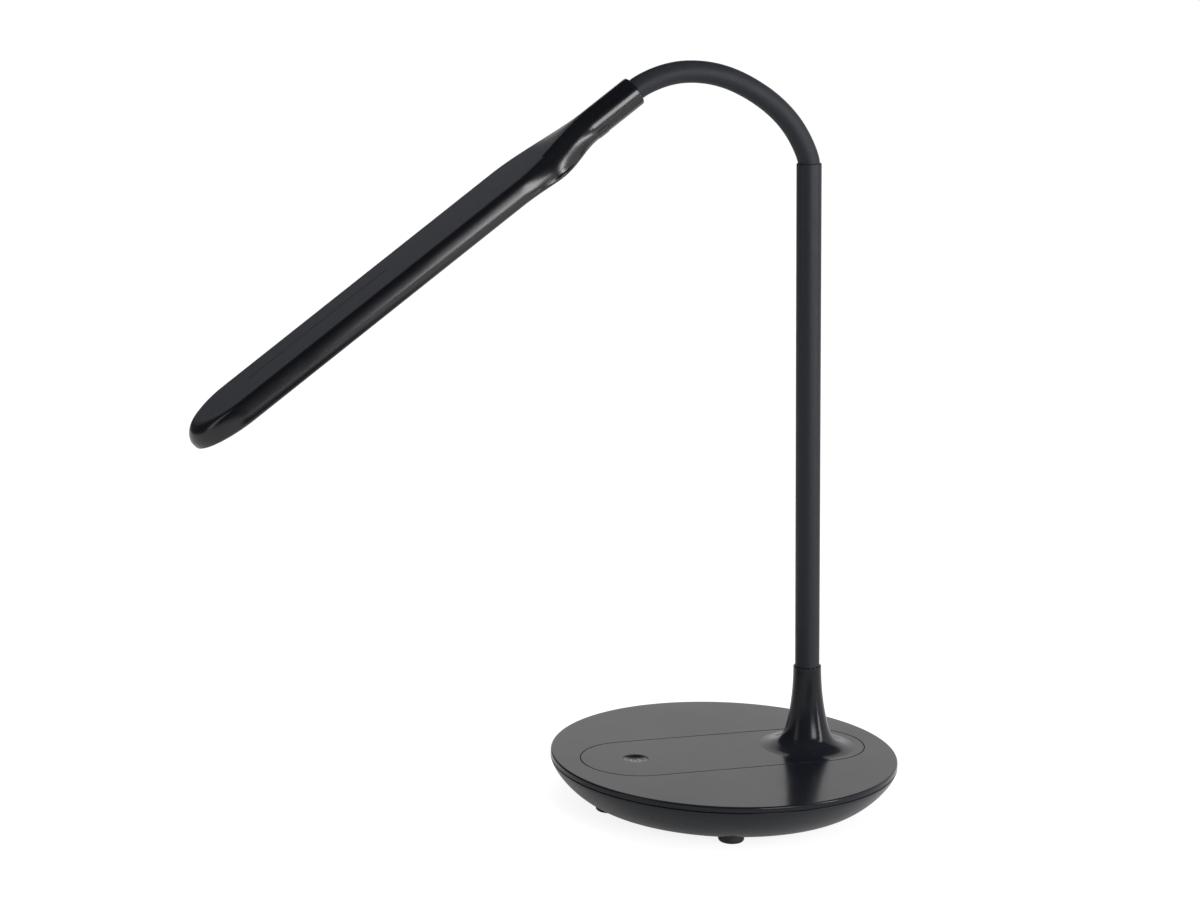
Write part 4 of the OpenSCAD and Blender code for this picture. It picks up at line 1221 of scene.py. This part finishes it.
class LAMP_OT_studio(bpy.types.Operator):
    """White floor and surround, softboxes and the camera"""
    bl_idname = "lamp.studio"
    bl_label = "Studio"

    def execute(self, context):
        scene = context.scene
        s = scene.lamp_studio
        scene.view_settings.view_transform = "Standard"
        # surround: white to look at, softer as a light
        scene.world = bpy.data.worlds.new("white surround")
        tree = blank(scene.world)
        strength = add(tree, "ShaderNodeMix", {"Factor": seen_directly(tree), 2: s.room, 3: 1.0})
        glow = add(tree, "ShaderNodeBackground", {"Color": (1, 1, 1, 1), "Strength": strength.outputs[0]})
        add(tree, "ShaderNodeOutputWorld", {"Surface": glow.outputs[0]})
        # floor: white paper that keeps a faint shadow, and a deeper one in the gloss
        paper = bpy.data.materials.new("white paper")
        tree = blank(paper)
        path = add(tree, "ShaderNodeLightPath").outputs

        def look(grey, glow):
            paint = add(tree, "ShaderNodeBsdfDiffuse", {"Color": (grey, grey, grey, 1)})
            light = add(tree, "ShaderNodeEmission", {"Color": (1, 1, 1, 1), "Strength": glow})
            return add(tree, "ShaderNodeAddShader", {0: paint.outputs[0], 1: light.outputs[0]}).outputs[0]

        mirrored = add(tree, "ShaderNodeMixShader", {0: seen_directly(tree), 1: look(s.bounce, 0.0),
                                                     2: look(0.65, 0.2)})
        both = add(tree, "ShaderNodeMixShader", {0: path["Is Camera Ray"], 1: mirrored.outputs[0],
                                                 2: look(0.25, 0.86)})
        add(tree, "ShaderNodeOutputMaterial", {"Surface": both.outputs[0]})
        sheet("studio_floor", paper, level(-5, 5, -5, 5, 0))
        for name, (grey, corners) in PAINTED_DARK_REFLECTIONS.items():
            dark_reflection_paint = bpy.data.materials.new(name)
            tree = blank(dark_reflection_paint)
            dark_reflection_shader = add(tree, "ShaderNodeBsdfDiffuse", {"Color": (grey, grey, grey, 1)})
            add(tree, "ShaderNodeOutputMaterial", {"Surface": dark_reflection_shader.outputs[0]})
            obj = sheet(name, dark_reflection_paint, corners)
            # seen by glossy rays alone, so each sheet only paints a dark reflection and dims no light
            obj.visible_camera = obj.visible_diffuse = obj.visible_shadow = False
        softbox("right softbox", (0.77, -0.64, 0), 1.3, 0.55, (0.18, 1.0), s.right)
        softbox("left softbox", (-0.98, -0.17, 0), 1.4, 0.55, (0.4, 1.0), s.left)
        softbox("front softbox", (0.3, -1.25, 0), 1.3, 0.45, (0.5, 0.5), s.front)
        softbox("light above", (-0.1, -0.1, 1), 1.2, 0.2, (0.9, 0.9), s.above).visible_glossy = False
        # camera on the base's left front, a little above the light bar
        azimuth, elevation, roll, distance = -19.994, 11.526, 1.688, 1.3218
        target = Vector((-69.29, 0, 178.84)) * MM
        a, e, roll = (math.radians(v) for v in (azimuth, elevation, roll))
        back = Vector((math.sin(a) * math.cos(e), -math.cos(a) * math.cos(e), math.sin(e)))
        right = Vector((math.cos(a), math.sin(a), 0))
        up = back.cross(right)
        right, up = right * math.cos(roll) + up * math.sin(roll), up * math.cos(roll) - right * math.sin(roll)
        lens = bpy.data.cameras.new("camera")
        lens.lens, lens.sensor_width, lens.sensor_fit = s.lens, 36.0, "HORIZONTAL"
        lens.clip_start, lens.clip_end = 0.01, 100.0
        camera = linked("camera", lens)
        camera.matrix_world = (Matrix.Translation(target + back * distance)
                               @ Matrix((right, up, back)).transposed().to_4x4())
        scene.camera = camera
        return {"FINISHED"}


class LAMP_PT_pieces(bpy.types.Panel):
    """Pieces of the desk lamp"""
    bl_idname = "LAMP_PT_pieces"
    bl_label = "Desk lamp"
    bl_space_type = "VIEW_3D"
    bl_region_type = "UI"
    bl_category = "Desk Lamp"

    def draw(self, context):
        column = self.layout.column()
        for cls in STEPS:
            column.operator(cls.bl_idname)
        for name in GROUPS:
            group = getattr(context.scene, name)
            box = self.layout.box()
            for key in group.__annotations__:
                box.prop(group, key)


GROUPS = {"lamp_base": BaseSizes, "lamp_panel": PanelSizes, "lamp_post": PostSizes, "lamp_bar": BarSizes,
          "lamp_colours": LampColours, "lamp_studio": StudioSettings}
STEPS = [LAMP_OT_studio, LAMP_OT_bowl, LAMP_OT_cover, LAMP_OT_panel, LAMP_OT_touch, LAMP_OT_feet,
         LAMP_OT_screws, LAMP_OT_post, LAMP_OT_neck, LAMP_OT_bar, LAMP_OT_bezel, LAMP_OT_diffuser,
         LAMP_OT_inside]


def register():
    for cls in [*GROUPS.values(), *STEPS, LAMP_PT_pieces]:
        bpy.utils.register_class(cls)
    for name, cls in GROUPS.items():
        setattr(bpy.types.Scene, name, bpy.props.PointerProperty(type=cls))


def unregister():
    for name in GROUPS:
        delattr(bpy.types.Scene, name)
    for cls in reversed([*GROUPS.values(), *STEPS, LAMP_PT_pieces]):
        bpy.utils.unregister_class(cls)


def main():
    register()
    for cls in STEPS:
        group, name = cls.bl_idname.split(".")
        getattr(getattr(bpy.ops, group), name)()
    bpy.context.view_layer.update()


if __name__ == "__main__":
    main()
